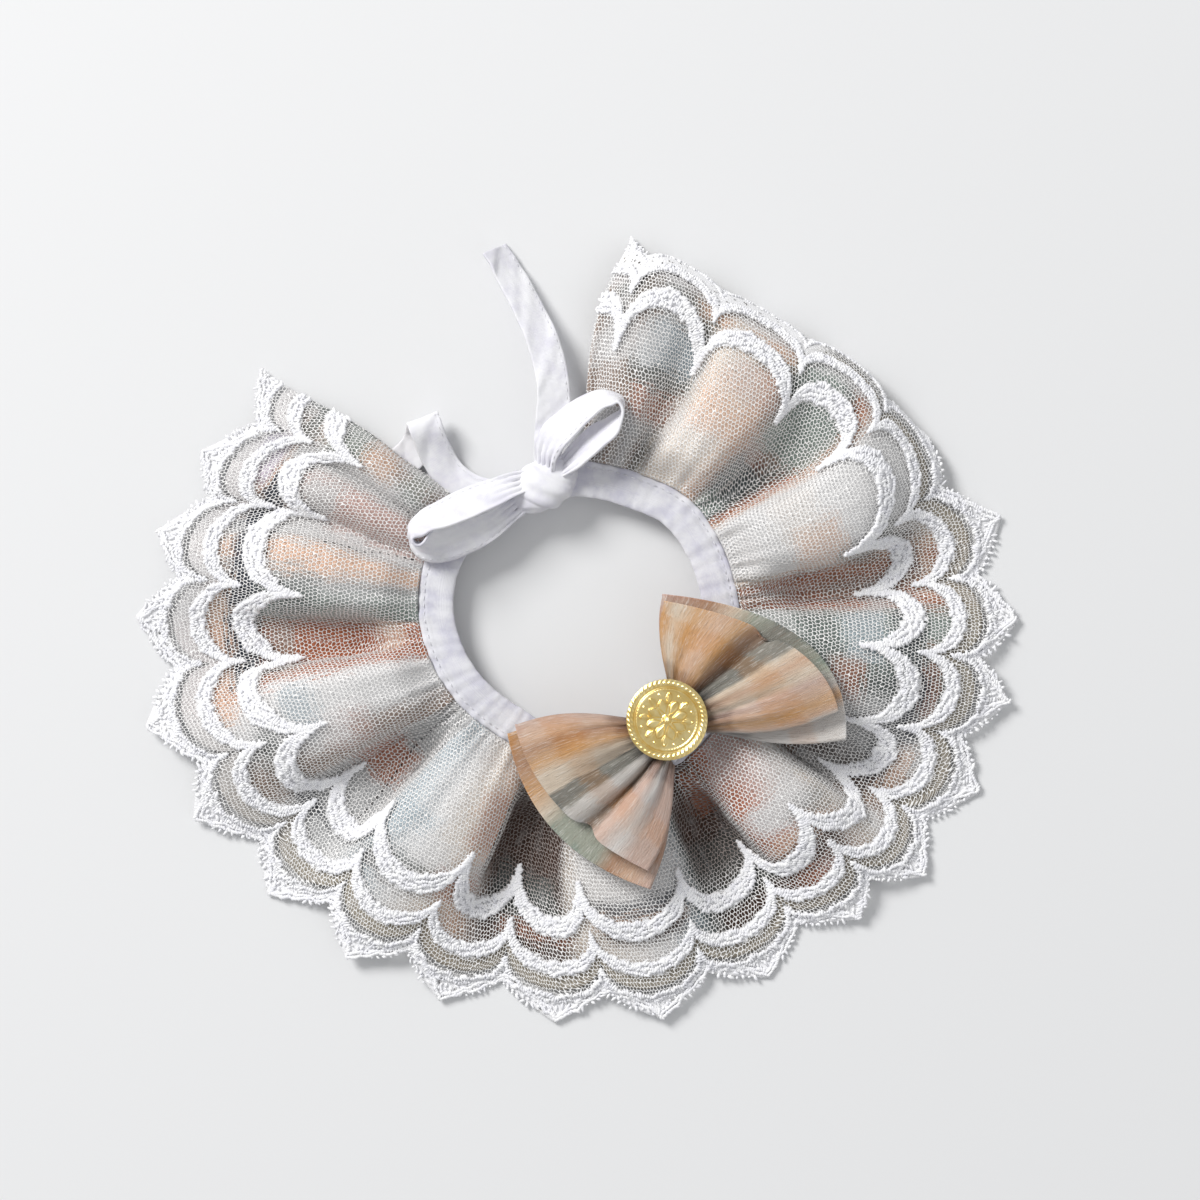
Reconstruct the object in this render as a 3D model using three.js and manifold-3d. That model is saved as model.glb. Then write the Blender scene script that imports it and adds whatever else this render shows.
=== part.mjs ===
// A lace bow tie collar for a small pet, lying flat and face up. A plaid cloth ruffle and an embroidered net
// ruffle over it are gathered into a neck tape, whose ends are tied in a bow at the back. A double bow with a
// round metal button sits at the front. Millimetres, +Z up, and the rest surface is z = 0.
import * as THREE from "three";
import Module from "manifold-3d";
import { mergeVertices } from "three/addons/utils/BufferGeometryUtils.js";

const wasm = await Module();
wasm.setup();

// ---- Driving dimensions -------------------------------------------------------------------------------------
const TAPE_WIDTH = 10.5;
const TAPE_THICK = 2.6;
const TAPE_LIFT = 6; // the pleats hold the neck tape this far off the table
const SEAM_GAP = 0.3;
const CLOTH_THICK = 1;
const LACE_THICK = 1;
const LAYER_GAP = 0.8; // between the plaid cloth and the lace on it
const RUFFLE_DEPTH = 86; // from the neck tape to the tips of the lace
const POINT_DEPTH = 11.5; // how far the notches between the lace points go in
const CLOTH_INSET = 1.5; // the plaid hem ends this far inside the lace border
const COLUMNS_PER_REPEAT = 4;
const MID_SHARE = 0.32; // share of the depth where the folds' middle angles are given
const BUTTON_RADIUS = 12;
const BOW_ANGLE = 39; // degrees, the bow's length against +X
const BOW_CENTRE = { x: 26.7, y: -27.6 };
const BOW_UNDER = 14.5; // underside of the back loops, clear of the folds below
const TIE_THICK = 1;
const KNOT = { x: -9.8, y: 42.4, z: 9.6, length: 23, width: 15.5, height: 11.6, turn: 35 };

// The neck tape's centre line round the neck opening.
const TAPE_LINE = [
  { deg: 110, radius: 44.6 },
  { deg: 68, radius: 43.8 },
  { deg: 50, radius: 45.3 },
  { deg: 32, radius: 44.4 },
  { deg: 10, radius: 43.4 },
  { deg: -15, radius: 44.7 },
  { deg: -41, radius: 46.2 },
  { deg: -58, radius: 45.3 },
  { deg: -85, radius: 40.5 },
  { deg: -105, radius: 36.9 },
  { deg: -120, radius: 35.1 },
  { deg: -135, radius: 35.7 },
  { deg: -153, radius: 37.7 },
  { deg: -171, radius: 40.2 },
  { deg: -190, radius: 42.9 },
  { deg: -210, radius: 44.6 },
  { deg: -235, radius: 44.4 },
  { deg: -262, radius: 44.6 },
];

// The tips of the lace, one for each repeat of its pattern, clockwise from the right end: direction and reach.
const LACE_TIPS = [
  { deg: 82, reach: 118.5 },
  { deg: 74.2, reach: 112 },
  { deg: 58.5, reach: 108.5 },
  { deg: 44.7, reach: 113 },
  { deg: 28.4, reach: 120 },
  { deg: 14.3, reach: 132 },
  { deg: 0.8, reach: 133.5 },
  { deg: -10, reach: 132.5 },
  { deg: -22.6, reach: 131.5 },
  { deg: -35.7, reach: 129.5 },
  { deg: -46, reach: 123 },
  { deg: -61.4, reach: 121 },
  { deg: -77.7, reach: 121.5 },
  { deg: -93.2, reach: 120 },
  { deg: -110.2, reach: 120.5 },
  { deg: -124.8, reach: 122 },
  { deg: -138.9, reach: 124 },
  { deg: -153.3, reach: 129.5 },
  { deg: -166.9, reach: 133.5 },
  { deg: -181.2, reach: 133.5 },
  { deg: -192.8, reach: 130 },
  { deg: -205, reach: 125 },
  { deg: -219, reach: 123 },
];
const REPEATS = LACE_TIPS.length - 1;

// The folds of the ruffle, hollow and crest in turn, clockwise from the right end. repeat is the place along the
// lace, band and mid the directions at the neck tape and a third of the way out, rise the height of the cloth
// there, and tuck how far the flank after this row turns in under its crest.
const FOLDS = [
  { name: "right end", repeat: 0, band: 88, mid: 87.5, rise: 4, tuck: 0 },
  { name: "A", repeat: 0.85, band: 79, mid: 76, rise: 12, tuck: 0 },
  { name: "A-B", repeat: 1.4, band: 71, mid: 67, rise: 7, tuck: 0.5 },
  { name: "B", repeat: 2, band: 56, mid: 56.5, rise: 19, tuck: 0.25 },
  { name: "B-C", repeat: 3, band: 41, mid: 38.5, rise: 5, tuck: 0.2 },
  { name: "C", repeat: 4, band: 26, mid: 23.5, rise: 17, tuck: 1 },
  { name: "C-D", repeat: 5.35, band: 9.5, mid: 8.5, rise: 0, tuck: 0.2 },
  { name: "D", repeat: 6.7, band: -4, mid: -7, rise: 11, tuck: 0.4 },
  { name: "D-E", repeat: 8.4, band: -24, mid: -27, rise: 0, tuck: 1 },
  { name: "E", repeat: 9.55, band: -38, mid: -41, rise: 14, tuck: 0.7 },
  { name: "E-F", repeat: 10.75, band: -57, mid: -57, rise: 0, tuck: 0.3 },
  { name: "F", repeat: 11.9, band: -74, mid: -77, rise: 9, tuck: 0.3 },
  { name: "F-G", repeat: 13.5, band: -100, mid: -103.5, rise: 0, tuck: 0.8 },
  { name: "G", repeat: 14.95, band: -126, mid: -124.5, rise: 16, tuck: 1 },
  { name: "G-H", repeat: 16.3, band: -144, mid: -143.5, rise: 0, tuck: 0.7 },
  { name: "H", repeat: 17.6, band: -160, mid: -161, rise: 16, tuck: 1 },
  { name: "H-I", repeat: 18.75, band: -178, mid: -178, rise: 0.5, tuck: 0.4 },
  { name: "I", repeat: 19.75, band: -193, mid: -191.5, rise: 14, tuck: 0.5 },
  { name: "I-J", repeat: 20.35, band: -203, mid: -203, rise: 6, tuck: 0 },
  { name: "J", repeat: 20.8, band: -209, mid: -208.5, rise: 12, tuck: 0 },
  { name: "J-K", repeat: 21.2, band: -214.5, mid: -214, rise: 8, tuck: 0 },
  { name: "K", repeat: 21.6, band: -220, mid: -219, rise: 13, tuck: 0 },
  { name: "left end", repeat: 22, band: -227, mid: -223.5, rise: 4, tuck: 0 },
];

// Section of half a fold, from its crest to the hollow: across and up are shares of the half fold's width and
// height at the neck tape, on a tucked flank and on an open flank. At the hem a fold is a plain wave.
const FOLD_SECTION = [
  { share: 0, bandAcross: 0, bandUp: 1, tuckAcross: 0, tuckUp: 1, openAcross: 0, openUp: 1 },
  { share: 1 / 6, bandAcross: 0.22, bandUp: 1, tuckAcross: 0.25, tuckUp: 0.97, openAcross: 0.21, openUp: 0.95 },
  { share: 2 / 6, bandAcross: 0.43, bandUp: 0.95, tuckAcross: 0.48, tuckUp: 0.84, openAcross: 0.4, openUp: 0.8 },
  { share: 3 / 6, bandAcross: 0.6, bandUp: 0.72, tuckAcross: 0.6, tuckUp: 0.52, openAcross: 0.55, openUp: 0.55 },
  { share: 4 / 6, bandAcross: 0.7, bandUp: 0.34, tuckAcross: 0.57, tuckUp: 0.18, openAcross: 0.68, openUp: 0.26 },
  { share: 5 / 6, bandAcross: 0.82, bandUp: 0.05, tuckAcross: 0.75, tuckUp: -0.03, openAcross: 0.82, openUp: 0.02 },
  { share: 1, bandAcross: 1, bandUp: 0, tuckAcross: 1, tuckUp: -0.03, openAcross: 1, openUp: -0.03 },
];

// Height of a crest along the ruffle's depth, as a share of its rise.
const CREST_LINE = [
  { share: 0, up: 0.6 },
  { share: 0.14, up: 0.88 },
  { share: 0.32, up: 1 },
  { share: 0.52, up: 0.88 },
  { share: 0.7, up: 0.5 },
  { share: 0.85, up: 0.3 },
  { share: 1, up: 0.2 },
];

// Where the right end droops: reach and height of the outer ruffle, which turns down on its edge.
const DROOP_LINE = [
  { share: 0, out: 0, up: 0.5 },
  { share: 0.3, out: 0.4, up: 0.85 },
  { share: 0.52, out: 0.71, up: 1 },
  { share: 0.68, out: 0.88, up: 0.85 },
  { share: 0.8, out: 0.96, up: 0.6 },
  { share: 0.9, out: 1, up: 0.32 },
  { share: 1, out: 0.985, up: 0.04 },
];
const DROOP_RISE = 17;
const DROOP_REPEATS = { start: -0.6, full: 1, ease: 3.2, end: 4.9 };

// ---- Small mathematics --------------------------------------------------------------------------------------
const radians = THREE.MathUtils.degToRad;
const mix = THREE.MathUtils.lerp;
const ramp = (x, from, to) => THREE.MathUtils.smoothstep(x, from, to);

// A smooth curve through the rows of a table, read at x. The key column rises or falls steadily.
function along(rows, key, column, x) {
  const rising = rows[rows.length - 1][key] > rows[0][key];
  let i = rows.findIndex((row) => (rising ? row[key] > x : row[key] < x)) - 1;
  if (i < -1) i = rows.length - 2;
  i = Math.max(0, i);
  const slope = (k) => {
    const before = rows[Math.max(0, k - 1)];
    const after = rows[Math.min(rows.length - 1, k + 1)];
    return (after[column] - before[column]) / (after[key] - before[key]);
  };
  const [a, b] = [rows[i], rows[i + 1]];
  const span = b[key] - a[key];
  const u = THREE.MathUtils.clamp((x - a[key]) / span, 0, 1);
  const [u2, u3] = [u * u, u * u * u];
  return (
    (2 * u3 - 3 * u2 + 1) * a[column] +
    (u3 - 2 * u2 + u) * span * slope(i) +
    (3 * u2 - 2 * u3) * b[column] +
    (u3 - u2) * span * slope(i + 1)
  );
}

function polar(deg, radius, z) {
  return new THREE.Vector3(Math.cos(radians(deg)) * radius, Math.sin(radians(deg)) * radius, z);
}

// ---- Solids from grids --------------------------------------------------------------------------------------
// A closed wall between an under face and an upper face, each a function of column and row.
function wall(columns, rows, under, upper) {
  const points = [];
  const faces = [];
  const at = (face, i, j) => (face * (columns + 1) + i) * (rows + 1) + j;
  const quad = (a, b, c, d) => faces.push(a, b, c, a, c, d);
  for (const face of [under, upper])
    for (let i = 0; i <= columns; i++) for (let j = 0; j <= rows; j++) points.push(...face(i, j).toArray());
  for (let i = 0; i < columns; i++)
    for (let j = 0; j < rows; j++) {
      quad(at(1, i, j), at(1, i + 1, j), at(1, i + 1, j + 1), at(1, i, j + 1));
      quad(at(0, i, j), at(0, i, j + 1), at(0, i + 1, j + 1), at(0, i + 1, j));
    }
  for (let i = 0; i < columns; i++) {
    quad(at(0, i, 0), at(0, i + 1, 0), at(1, i + 1, 0), at(1, i, 0));
    quad(at(1, i, rows), at(1, i + 1, rows), at(0, i + 1, rows), at(0, i, rows));
  }
  for (let j = 0; j < rows; j++) {
    quad(at(1, 0, j), at(1, 0, j + 1), at(0, 0, j + 1), at(0, 0, j));
    quad(at(0, columns, j), at(0, columns, j + 1), at(1, columns, j + 1), at(1, columns, j));
  }
  const geometry = new THREE.BufferGeometry();
  geometry.setAttribute("position", new THREE.Float32BufferAttribute(points, 3));
  geometry.setIndex(faces);
  return geometry;
}

// A solid that sweeps a closed section of points along a run of columns.
function sweep(columns, section, place) {
  const points = [];
  const faces = [];
  const n = section.length;
  for (let i = 0; i <= columns; i++) for (const corner of section) points.push(...place(i, corner).toArray());
  for (let i = 0; i < columns; i++)
    for (let k = 0; k < n; k++) {
      const [a, b] = [i * n + k, i * n + ((k + 1) % n)];
      faces.push(a, b, b + n, a, b + n, a + n);
    }
  for (let k = 1; k < n - 1; k++) {
    faces.push(0, k + 1, k);
    faces.push(columns * n, columns * n + k, columns * n + k + 1);
  }
  const geometry = new THREE.BufferGeometry();
  geometry.setAttribute("position", new THREE.Float32BufferAttribute(points, 3));
  geometry.setIndex(faces);
  return geometry;
}

// A closed mesh as a solid that can be joined and cut.
function solid(geometry) {
  return new wasm.Manifold(
    new wasm.Mesh({
      numProp: 3,
      vertProperties: new Float32Array(geometry.getAttribute("position").array),
      triVerts: new Uint32Array(geometry.index.array),
    }),
  );
}

// ---- The ruffle's surface -----------------------------------------------------------------------------------
const tapeRadius = (deg) => along(TAPE_LINE, "deg", "radius", deg);
const tips = LACE_TIPS.map((tip, repeat) => ({ ...tip, repeat }));

// How far the ruffle droops at a place along it, from 0 to 1.
function droopAt(repeat) {
  const { start, full, ease, end } = DROOP_REPEATS;
  return ramp(repeat, start, full) * (1 - ramp(repeat, ease, end));
}

// Direction in degrees and height of the ruffle's underside.
function foldAt(repeat, share) {
  const next = FOLDS.findIndex((fold) => fold.repeat > repeat);
  const i = next < 0 ? FOLDS.length - 2 : Math.max(0, next - 1);
  const crestFirst = i % 2 === 1;
  const [crest, hollow] = crestFirst ? [FOLDS[i], FOLDS[i + 1]] : [FOLDS[i + 1], FOLDS[i]];
  const p = THREE.MathUtils.clamp((repeat - crest.repeat) / (hollow.repeat - crest.repeat), 0, 1);
  const section = (column) => along(FOLD_SECTION, "share", column, p);
  const { tuck } = FOLDS[i];
  const [opening, hemming] = [ramp(share, 0, 0.26), ramp(share, 0.46, 0.86)];
  const across = mix(section("bandAcross"), mix(section("openAcross"), section("tuckAcross"), tuck), opening);
  const up = mix(section("bandUp"), mix(section("openUp"), section("tuckUp"), tuck), opening);
  const wave = (1 + Math.cos(Math.PI * p)) / 2;
  const middle = Math.min(1, share / MID_SHARE);
  const direction = (fold) => mix(fold.band, fold.mid, middle);
  const folded = mix(direction(crest), direction(hollow), mix(across, p, hemming));
  const hem = along(tips, "repeat", "deg", repeat);
  const seam = TAPE_LIFT + 0.8;
  const crestLine = along(CREST_LINE, "share", "up", share);
  const crestUp = mix(seam + 1.2, crest.rise * crestLine, ramp(share, 0, 0.14));
  const hollowUp = mix(seam, hollow.rise * crestLine, ramp(share, 0.02, 0.24));
  return {
    deg: mix(folded, hem, ramp(share, MID_SHARE, 1)),
    height: mix(hollowUp, crestUp, mix(up, wave, hemming)),
  };
}

// A point of the ruffle's underside at a place along the lace and a distance down the cloth.
function ruffle(repeat, depth) {
  const share = depth / RUFFLE_DEPTH;
  const { deg, height } = foldAt(repeat, share);
  const droop = droopAt(repeat);
  const inner = tapeRadius(deg) + TAPE_WIDTH / 2 + SEAM_GAP;
  const out = mix(share, along(DROOP_LINE, "share", "out", share), droop);
  const radius = mix(inner, along(tips, "repeat", "reach", repeat), out);
  const waves = 0.25 * Math.max(height, 0) * (1 - ramp(share, 0.5, 0.8));
  const drooped = waves + DROOP_RISE * along(DROOP_LINE, "share", "up", share);
  const z = mix(height, drooped, droop * ramp(share, 0.3, 0.68));
  return polar(deg, radius, Math.max(0, z));
}

// The same point moved out from the cloth by a distance.
function ruffleOut(repeat, depth, distance) {
  const step = 0.02;
  const alongLace = ruffle(Math.min(REPEATS, repeat + step), depth).sub(ruffle(Math.max(0, repeat - step), depth));
  const downCloth = ruffle(repeat, depth + 0.5).sub(ruffle(repeat, Math.max(0, depth - 0.5)));
  const normal = alongLace.cross(downCloth).normalize();
  return ruffle(repeat, depth).addScaledVector(normal, distance);
}

// ---- The lace's pattern, as distances down the cloth --------------------------------------------------------
// Half of one repeat, from 0 at a tip to 1 at a notch.
const fromTip = (repeat) => Math.abs(repeat - Math.round(repeat)) * 2;
const scallop = (repeat) => Math.sqrt(Math.max(0, 1 - fromTip(repeat) ** 2));
const innerCord = (repeat) => 38 + 15 * scallop(repeat);
const outerCord = (repeat) => 55 + 12 * scallop(repeat);
const borderLine = (repeat) => 65 + 11 * scallop(repeat);
const edgeLine = (repeat) => RUFFLE_DEPTH - POINT_DEPTH * fromTip(repeat);

// Rows of the lace wall: distance down the cloth, and how far the embroidery stands up there.
const LACE_ROWS = [
  { depth: () => 0, raised: 0 },
  { depth: () => 8, raised: 0 },
  { depth: () => 18, raised: 0 },
  { depth: () => 29, raised: 0 },
  { depth: (s) => innerCord(s) - 2.1, raised: 0 },
  { depth: (s) => innerCord(s), raised: 0.6 },
  { depth: (s) => innerCord(s) + 2.1, raised: 0 },
  { depth: (s) => outerCord(s) - 1.4, raised: 0 },
  { depth: (s) => outerCord(s), raised: 0.5 },
  { depth: (s) => outerCord(s) + 1.4, raised: 0 },
  { depth: (s) => borderLine(s) - CLOTH_INSET, raised: 0.35 },
  { depth: (s) => edgeLine(s) - 1.5, raised: 0.35 },
  { depth: (s) => edgeLine(s), raised: 0.1 },
];
const CLOTH_ROWS = [0, 8, 18, 29]
  .map((depth) => () => depth)
  .concat([
    (s) => innerCord(s) - 2.1,
    (s) => innerCord(s) + 2.1,
    (s) => outerCord(s) - 1.4,
    (s) => outerCord(s) + 1.4,
    (s) => borderLine(s) - CLOTH_INSET,
  ]);

const columns = REPEATS * COLUMNS_PER_REPEAT;
const repeatOf = (column) => column / COLUMNS_PER_REPEAT;

// Keeps a face that lies on the table from dipping below it.
function onTable(point) {
  point.z = Math.max(0, point.z);
  return point;
}

function clothRuffle() {
  const face = (distance) => (i, j) => onTable(ruffleOut(repeatOf(i), CLOTH_ROWS[j](repeatOf(i)), distance));
  return wall(columns, CLOTH_ROWS.length - 1, face(0), face(CLOTH_THICK));
}

// The net lies on the cloth as far as its hem, and beyond that comes down to the table.
function laceRuffle() {
  const lift = (repeat, depth) => {
    const hem = borderLine(repeat) - CLOTH_INSET;
    return (CLOTH_THICK + LAYER_GAP) * (1 - ramp(depth, hem + 0.8, hem + 5));
  };
  const face = (thick, embroidery) => (i, j) => {
    const repeat = repeatOf(i);
    const depth = LACE_ROWS[j].depth(repeat);
    return onTable(ruffleOut(repeat, depth, lift(repeat, depth) + thick + embroidery * LACE_ROWS[j].raised));
  };
  return wall(columns, LACE_ROWS.length - 1, face(0, 0), face(LACE_THICK, 1));
}

// ---- The neck tape ------------------------------------------------------------------------------------------
const TAPE_ENDS = { right: 96, left: -251 };
const TAPE_COLUMNS = 48;

function neckTape() {
  const half = TAPE_WIDTH / 2;
  const section = [
    { across: -half, up: 0.6 },
    { across: -half + 0.6, up: 0 },
    { across: half - 0.6, up: 0 },
    { across: half, up: 0.6 },
    { across: half, up: TAPE_THICK - 0.7 },
    { across: half - 0.9, up: TAPE_THICK },
    { across: -half + 0.9, up: TAPE_THICK },
    { across: -half, up: TAPE_THICK - 0.7 },
  ];
  return sweep(TAPE_COLUMNS, section, (i, corner) => {
    const deg = mix(TAPE_ENDS.right, TAPE_ENDS.left, i / TAPE_COLUMNS);
    return polar(deg, tapeRadius(deg) + corner.across, TAPE_LIFT + corner.up);
  });
}

// ---- The bow ------------------------------------------------------------------------------------------------
// Wings of the bow, seen from above with its length along x: the corners and middle of the outer edge, and the
// ends of the gathered edge at the knot. Each wing is a loop of cloth, open at the top and bottom.
const WINGS = [
  {
    name: "bow_back_right",
    outerTop: [22.5, 29.5],
    outerMiddle: [46.5, -7.5],
    outerBottom: [37.6, -38.5],
    knotTop: [6.8, 7],
    knotBottom: [6.8, -10],
    under: 0,
    gap: 0.7,
    puff: 0.6,
  },
  {
    name: "bow_back_left",
    outerTop: [-39.6, 26.3],
    outerMiddle: [-47, -5],
    outerBottom: [-35.6, -36.4],
    knotTop: [-6.8, 5],
    knotBottom: [-6.8, -11],
    under: 0,
    gap: 0.7,
    puff: 0.6,
  },
  {
    name: "bow_front_right",
    outerTop: [21.6, 27.6],
    outerMiddle: [42, -5],
    outerBottom: [41, -30.5],
    knotTop: [6.8, 7.5],
    knotBottom: [6.8, -10.5],
    under: 3.6,
    gap: 1.2,
    puff: 3.4,
  },
  {
    name: "bow_front_left",
    outerTop: [-36, 27],
    outerMiddle: [-41.2, 0],
    outerBottom: [-32.5, -31.6],
    knotTop: [-6.8, 5.5],
    knotBottom: [-6.8, -12],
    under: 3.6,
    gap: 1.2,
    puff: 3.4,
  },
];
const WING_COLUMNS = 12; // round the loop, from the knot out under the wing and back over it
const WING_ROWS = 8;
const EDGE_SWELL = 3.2; // the gathered wing's edges swell out near the knot

function wing(spec) {
  const vector = ([x, y]) => new THREE.Vector2(x, y);
  const [top, middle, bottom] = [spec.outerTop, spec.outerMiddle, spec.outerBottom].map(vector);
  const control = middle.clone().multiplyScalar(2).sub(top.clone().add(bottom).multiplyScalar(0.5));
  const outer = new THREE.QuadraticBezierCurve(bottom, control, top);
  const side = Math.sign(middle.x);
  const [knotBottom, knotTop] = [vector(spec.knotBottom), vector(spec.knotTop)];
  // turn runs from -1, at the knot underneath, through 0, at the outer fold, to 1, at the knot on top.
  const place = (turn, w, inside) => {
    const out = Math.sqrt(1 - Math.min(1, Math.abs(turn)) ** 2.6) ** 0.9;
    const share = 1 - Math.abs(turn);
    const spread = Math.max(0.02, Math.min(1, 1.06 * Math.sin((Math.PI / 2) * Math.min(1, share * 1.15))));
    const end = outer.getPoint(w);
    const start = knotBottom.clone().lerp(knotTop, w);
    const reach = Math.min(1, out);
    const plan = start.clone().lerp(end, reach);
    plan.y += EDGE_SWELL * Math.sin(Math.PI * reach) * (2 * w - 1);
    plan.x -= side * inside * Math.max(0, 1 - Math.abs(turn) * 5);
    const lobes = Math.sin(Math.PI * Math.abs(2 * w - 1)) ** 0.9;
    const puff = spec.puff * lobes * Math.sin(Math.PI * Math.min(1, 0.12 + reach * 0.7));
    const half = (spec.gap * spread + CLOTH_THICK) / 2;
    const level = Math.sin((Math.PI / 2) * THREE.MathUtils.clamp(turn * 5, -1, 1));
    const centre = BOW_UNDER + spec.under + CLOTH_THICK + spec.gap / 2;
    const z = centre + level * (half + CLOTH_THICK / 2 - inside) + (level > 0 ? puff * level : 0);
    return new THREE.Vector3(plan.x, plan.y, z);
  };
  const face = (inside) => (i, j) => place(-1 + (2 * i) / WING_COLUMNS, side > 0 ? 1 - j / WING_ROWS : j / WING_ROWS, inside);
  return wall(WING_COLUMNS, WING_ROWS, face(CLOTH_THICK), face(0));
}

// The strip that binds the wings' middle, pulled tight into a rounded pad under the button.
function bowCentre() {
  const section = [];
  const [halfX, halfY, low, high] = [6.4, 10.4, TAPE_LIFT + TAPE_THICK + SEAM_GAP, BOW_UNDER + 8.4];
  for (let k = 0; k < 20; k++) {
    const turn = (2 * Math.PI * k) / 20;
    const squared = (value) => Math.sign(value) * Math.abs(value) ** 0.55;
    section.push({ y: -1.5 + halfY * squared(Math.cos(turn)), up: squared(Math.sin(turn)) });
  }
  return sweep(6, section, (i, corner) => {
    const x = mix(-halfX, halfX, i / 6);
    const waist = 1 - 0.1 * Math.cos((Math.PI * x) / (2 * halfX));
    return new THREE.Vector3(x, corner.y * waist, (low + high) / 2 + ((high - low) / 2) * corner.up);
  });
}

// A round metal button: a milled rim, a sunk ring and a low rosette of eight petals on a slightly domed field.
function button() {
  const segments = 40;
  const profile = [
    [0, 0],
    [10.6, 0],
    [BUTTON_RADIUS, 0.7],
    [BUTTON_RADIUS, 2.2],
    [11.5, 2.8],
    [10.4, 2.8],
    [9.9, 2.2],
    [8.9, 2.3],
    [7.4, 2.5],
    [5.2, 2.7],
    [3, 2.8],
    [1.4, 3.3],
    [0, 3.4],
  ].map(([radius, height]) => new THREE.Vector2(radius, height));
  const geometry = new THREE.LatheGeometry(profile, segments);
  geometry.deleteAttribute("normal");
  geometry.deleteAttribute("uv");
  const closed = mergeVertices(geometry, 1e-3);
  const position = closed.getAttribute("position");
  for (let i = 0; i < position.count; i++) {
    const [x, y, z] = [position.getX(i), position.getY(i), position.getZ(i)];
    const radius = Math.hypot(x, z);
    if (y < 2.4 || radius < 2 || radius > 8) continue;
    const petal = Math.cos(4 * Math.atan2(z, x)) ** 2;
    position.setY(i, y + 0.45 * petal * Math.sin((Math.PI * (radius - 2)) / 6));
  }
  return closed;
}

// ---- The tie ------------------------------------------------------------------------------------------------
// Centre lines of the tape beyond the neck band, from inside the knot. facing is the direction across the tape
// in plan, in degrees, and tilt lifts that edge: 0 lies flat, 90 stands on edge. The knot draws its width in.
const TIES = [
  {
    name: "tie_tail_long",
    columns: 18,
    rows: [
      { x: -9.6, y: 46, z: 9, facing: 180, tilt: 0, width: 6.5 },
      { x: -8.6, y: 53.5, z: 10.4, facing: 180, tilt: 0, width: 8.5 },
      { x: -7.4, y: 62, z: 11.2, facing: 182, tilt: 5, width: 10 },
      { x: -7, y: 71, z: 11, facing: 186, tilt: 12, width: 10 },
      { x: -9.4, y: 83, z: 9.5, facing: 198, tilt: 18, width: 10 },
      { x: -14.4, y: 95, z: 7, facing: 206, tilt: 26, width: 10 },
      { x: -20.6, y: 106.5, z: 4.6, facing: 211, tilt: 36, width: 10 },
      { x: -24.8, y: 113.6, z: 4, facing: 213, tilt: 42, width: 10 },
    ],
  },
  {
    name: "tie_tail_short",
    columns: 24,
    rows: [
      { x: -12.5, y: 42.2, z: 6.8, facing: 262, tilt: 0, width: 6 },
      { x: -19, y: 40.4, z: 4.7, facing: 266, tilt: 0, width: 7.5 },
      { x: -26, y: 39.6, z: 4, facing: 266, tilt: 0, width: 9 },
      { x: -33, y: 41.6, z: 3, facing: 250, tilt: 0, width: 9.5 },
      { x: -38.8, y: 46, z: 2.6, facing: 226, tilt: 0, width: 10 },
      { x: -42.6, y: 52.4, z: 4.4, facing: 207, tilt: 0, width: 10 },
      { x: -45, y: 58.6, z: 7.6, facing: 203, tilt: 0, width: 10 },
      { x: -46.2, y: 61.8, z: 7.4, facing: 203, tilt: 0, width: 10 },
      { x: -46.4, y: 61.8, z: 5.2, facing: 202, tilt: 0, width: 10 },
      { x: -46.8, y: 57.5, z: 2.8, facing: 196, tilt: 0, width: 10 },
      { x: -49, y: 53, z: 1.8, facing: 178, tilt: 0, width: 10 },
      { x: -52.6, y: 49.4, z: 1.4, facing: 162, tilt: 0, width: 10 },
    ],
  },
  {
    name: "tie_loop_left",
    columns: 28,
    rows: [
      { x: -14.5, y: 43.6, z: 12.6, facing: 246, tilt: 16, width: 6 },
      { x: -20.6, y: 41.6, z: 14.2, facing: 246, tilt: 20, width: 8 },
      { x: -29, y: 38.2, z: 15.6, facing: 246, tilt: 23, width: 10 },
      { x: -38, y: 34.2, z: 16.6, facing: 248, tilt: 26, width: 10 },
      { x: -45.4, y: 30.8, z: 17.4, facing: 258, tilt: 40, width: 10 },
      { x: -49.6, y: 27.4, z: 17.6, facing: 290, tilt: 72, width: 10 },
      { x: -47.8, y: 23.6, z: 16.6, facing: 322, tilt: 118, width: 10 },
      { x: -41, y: 23, z: 14.2, facing: 300, tilt: 148, width: 10 },
      { x: -33, y: 26, z: 12.6, facing: 298, tilt: 156, width: 10 },
      { x: -26.2, y: 30, z: 12, facing: 302, tilt: 160, width: 9 },
      { x: -20.4, y: 34.4, z: 11.4, facing: 306, tilt: 164, width: 7.5 },
      { x: -15.4, y: 38.4, z: 10.8, facing: 308, tilt: 168, width: 6 },
    ],
  },
  {
    name: "tie_loop_right",
    columns: 26,
    rows: [
      { x: -9.4, y: 46.4, z: 12.4, facing: 150, tilt: -14, width: 6 },
      { x: -9, y: 51.8, z: 15.5, facing: 150, tilt: -22, width: 8 },
      { x: -6.2, y: 57.2, z: 17.1, facing: 145, tilt: -28, width: 10 },
      { x: -0.3, y: 62.8, z: 18.3, facing: 132, tilt: -36, width: 10 },
      { x: 6.9, y: 67.2, z: 19.3, facing: 114, tilt: -52, width: 10 },
      { x: 12.2, y: 67.4, z: 19.5, facing: 60, tilt: -76, width: 10 },
      { x: 13.6, y: 64.2, z: 19.5, facing: 10, tilt: -92, width: 10 },
      { x: 11.4, y: 60, z: 19.1, facing: -30, tilt: -104, width: 10 },
      { x: 6.5, y: 55.6, z: 18.3, facing: -42, tilt: -112, width: 9.5 },
      { x: 1.2, y: 51.2, z: 16.3, facing: -42, tilt: -116, width: 8 },
      { x: -4.6, y: 46.6, z: 12.2, facing: -42, tilt: -120, width: 6 },
    ],
  },
];

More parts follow.
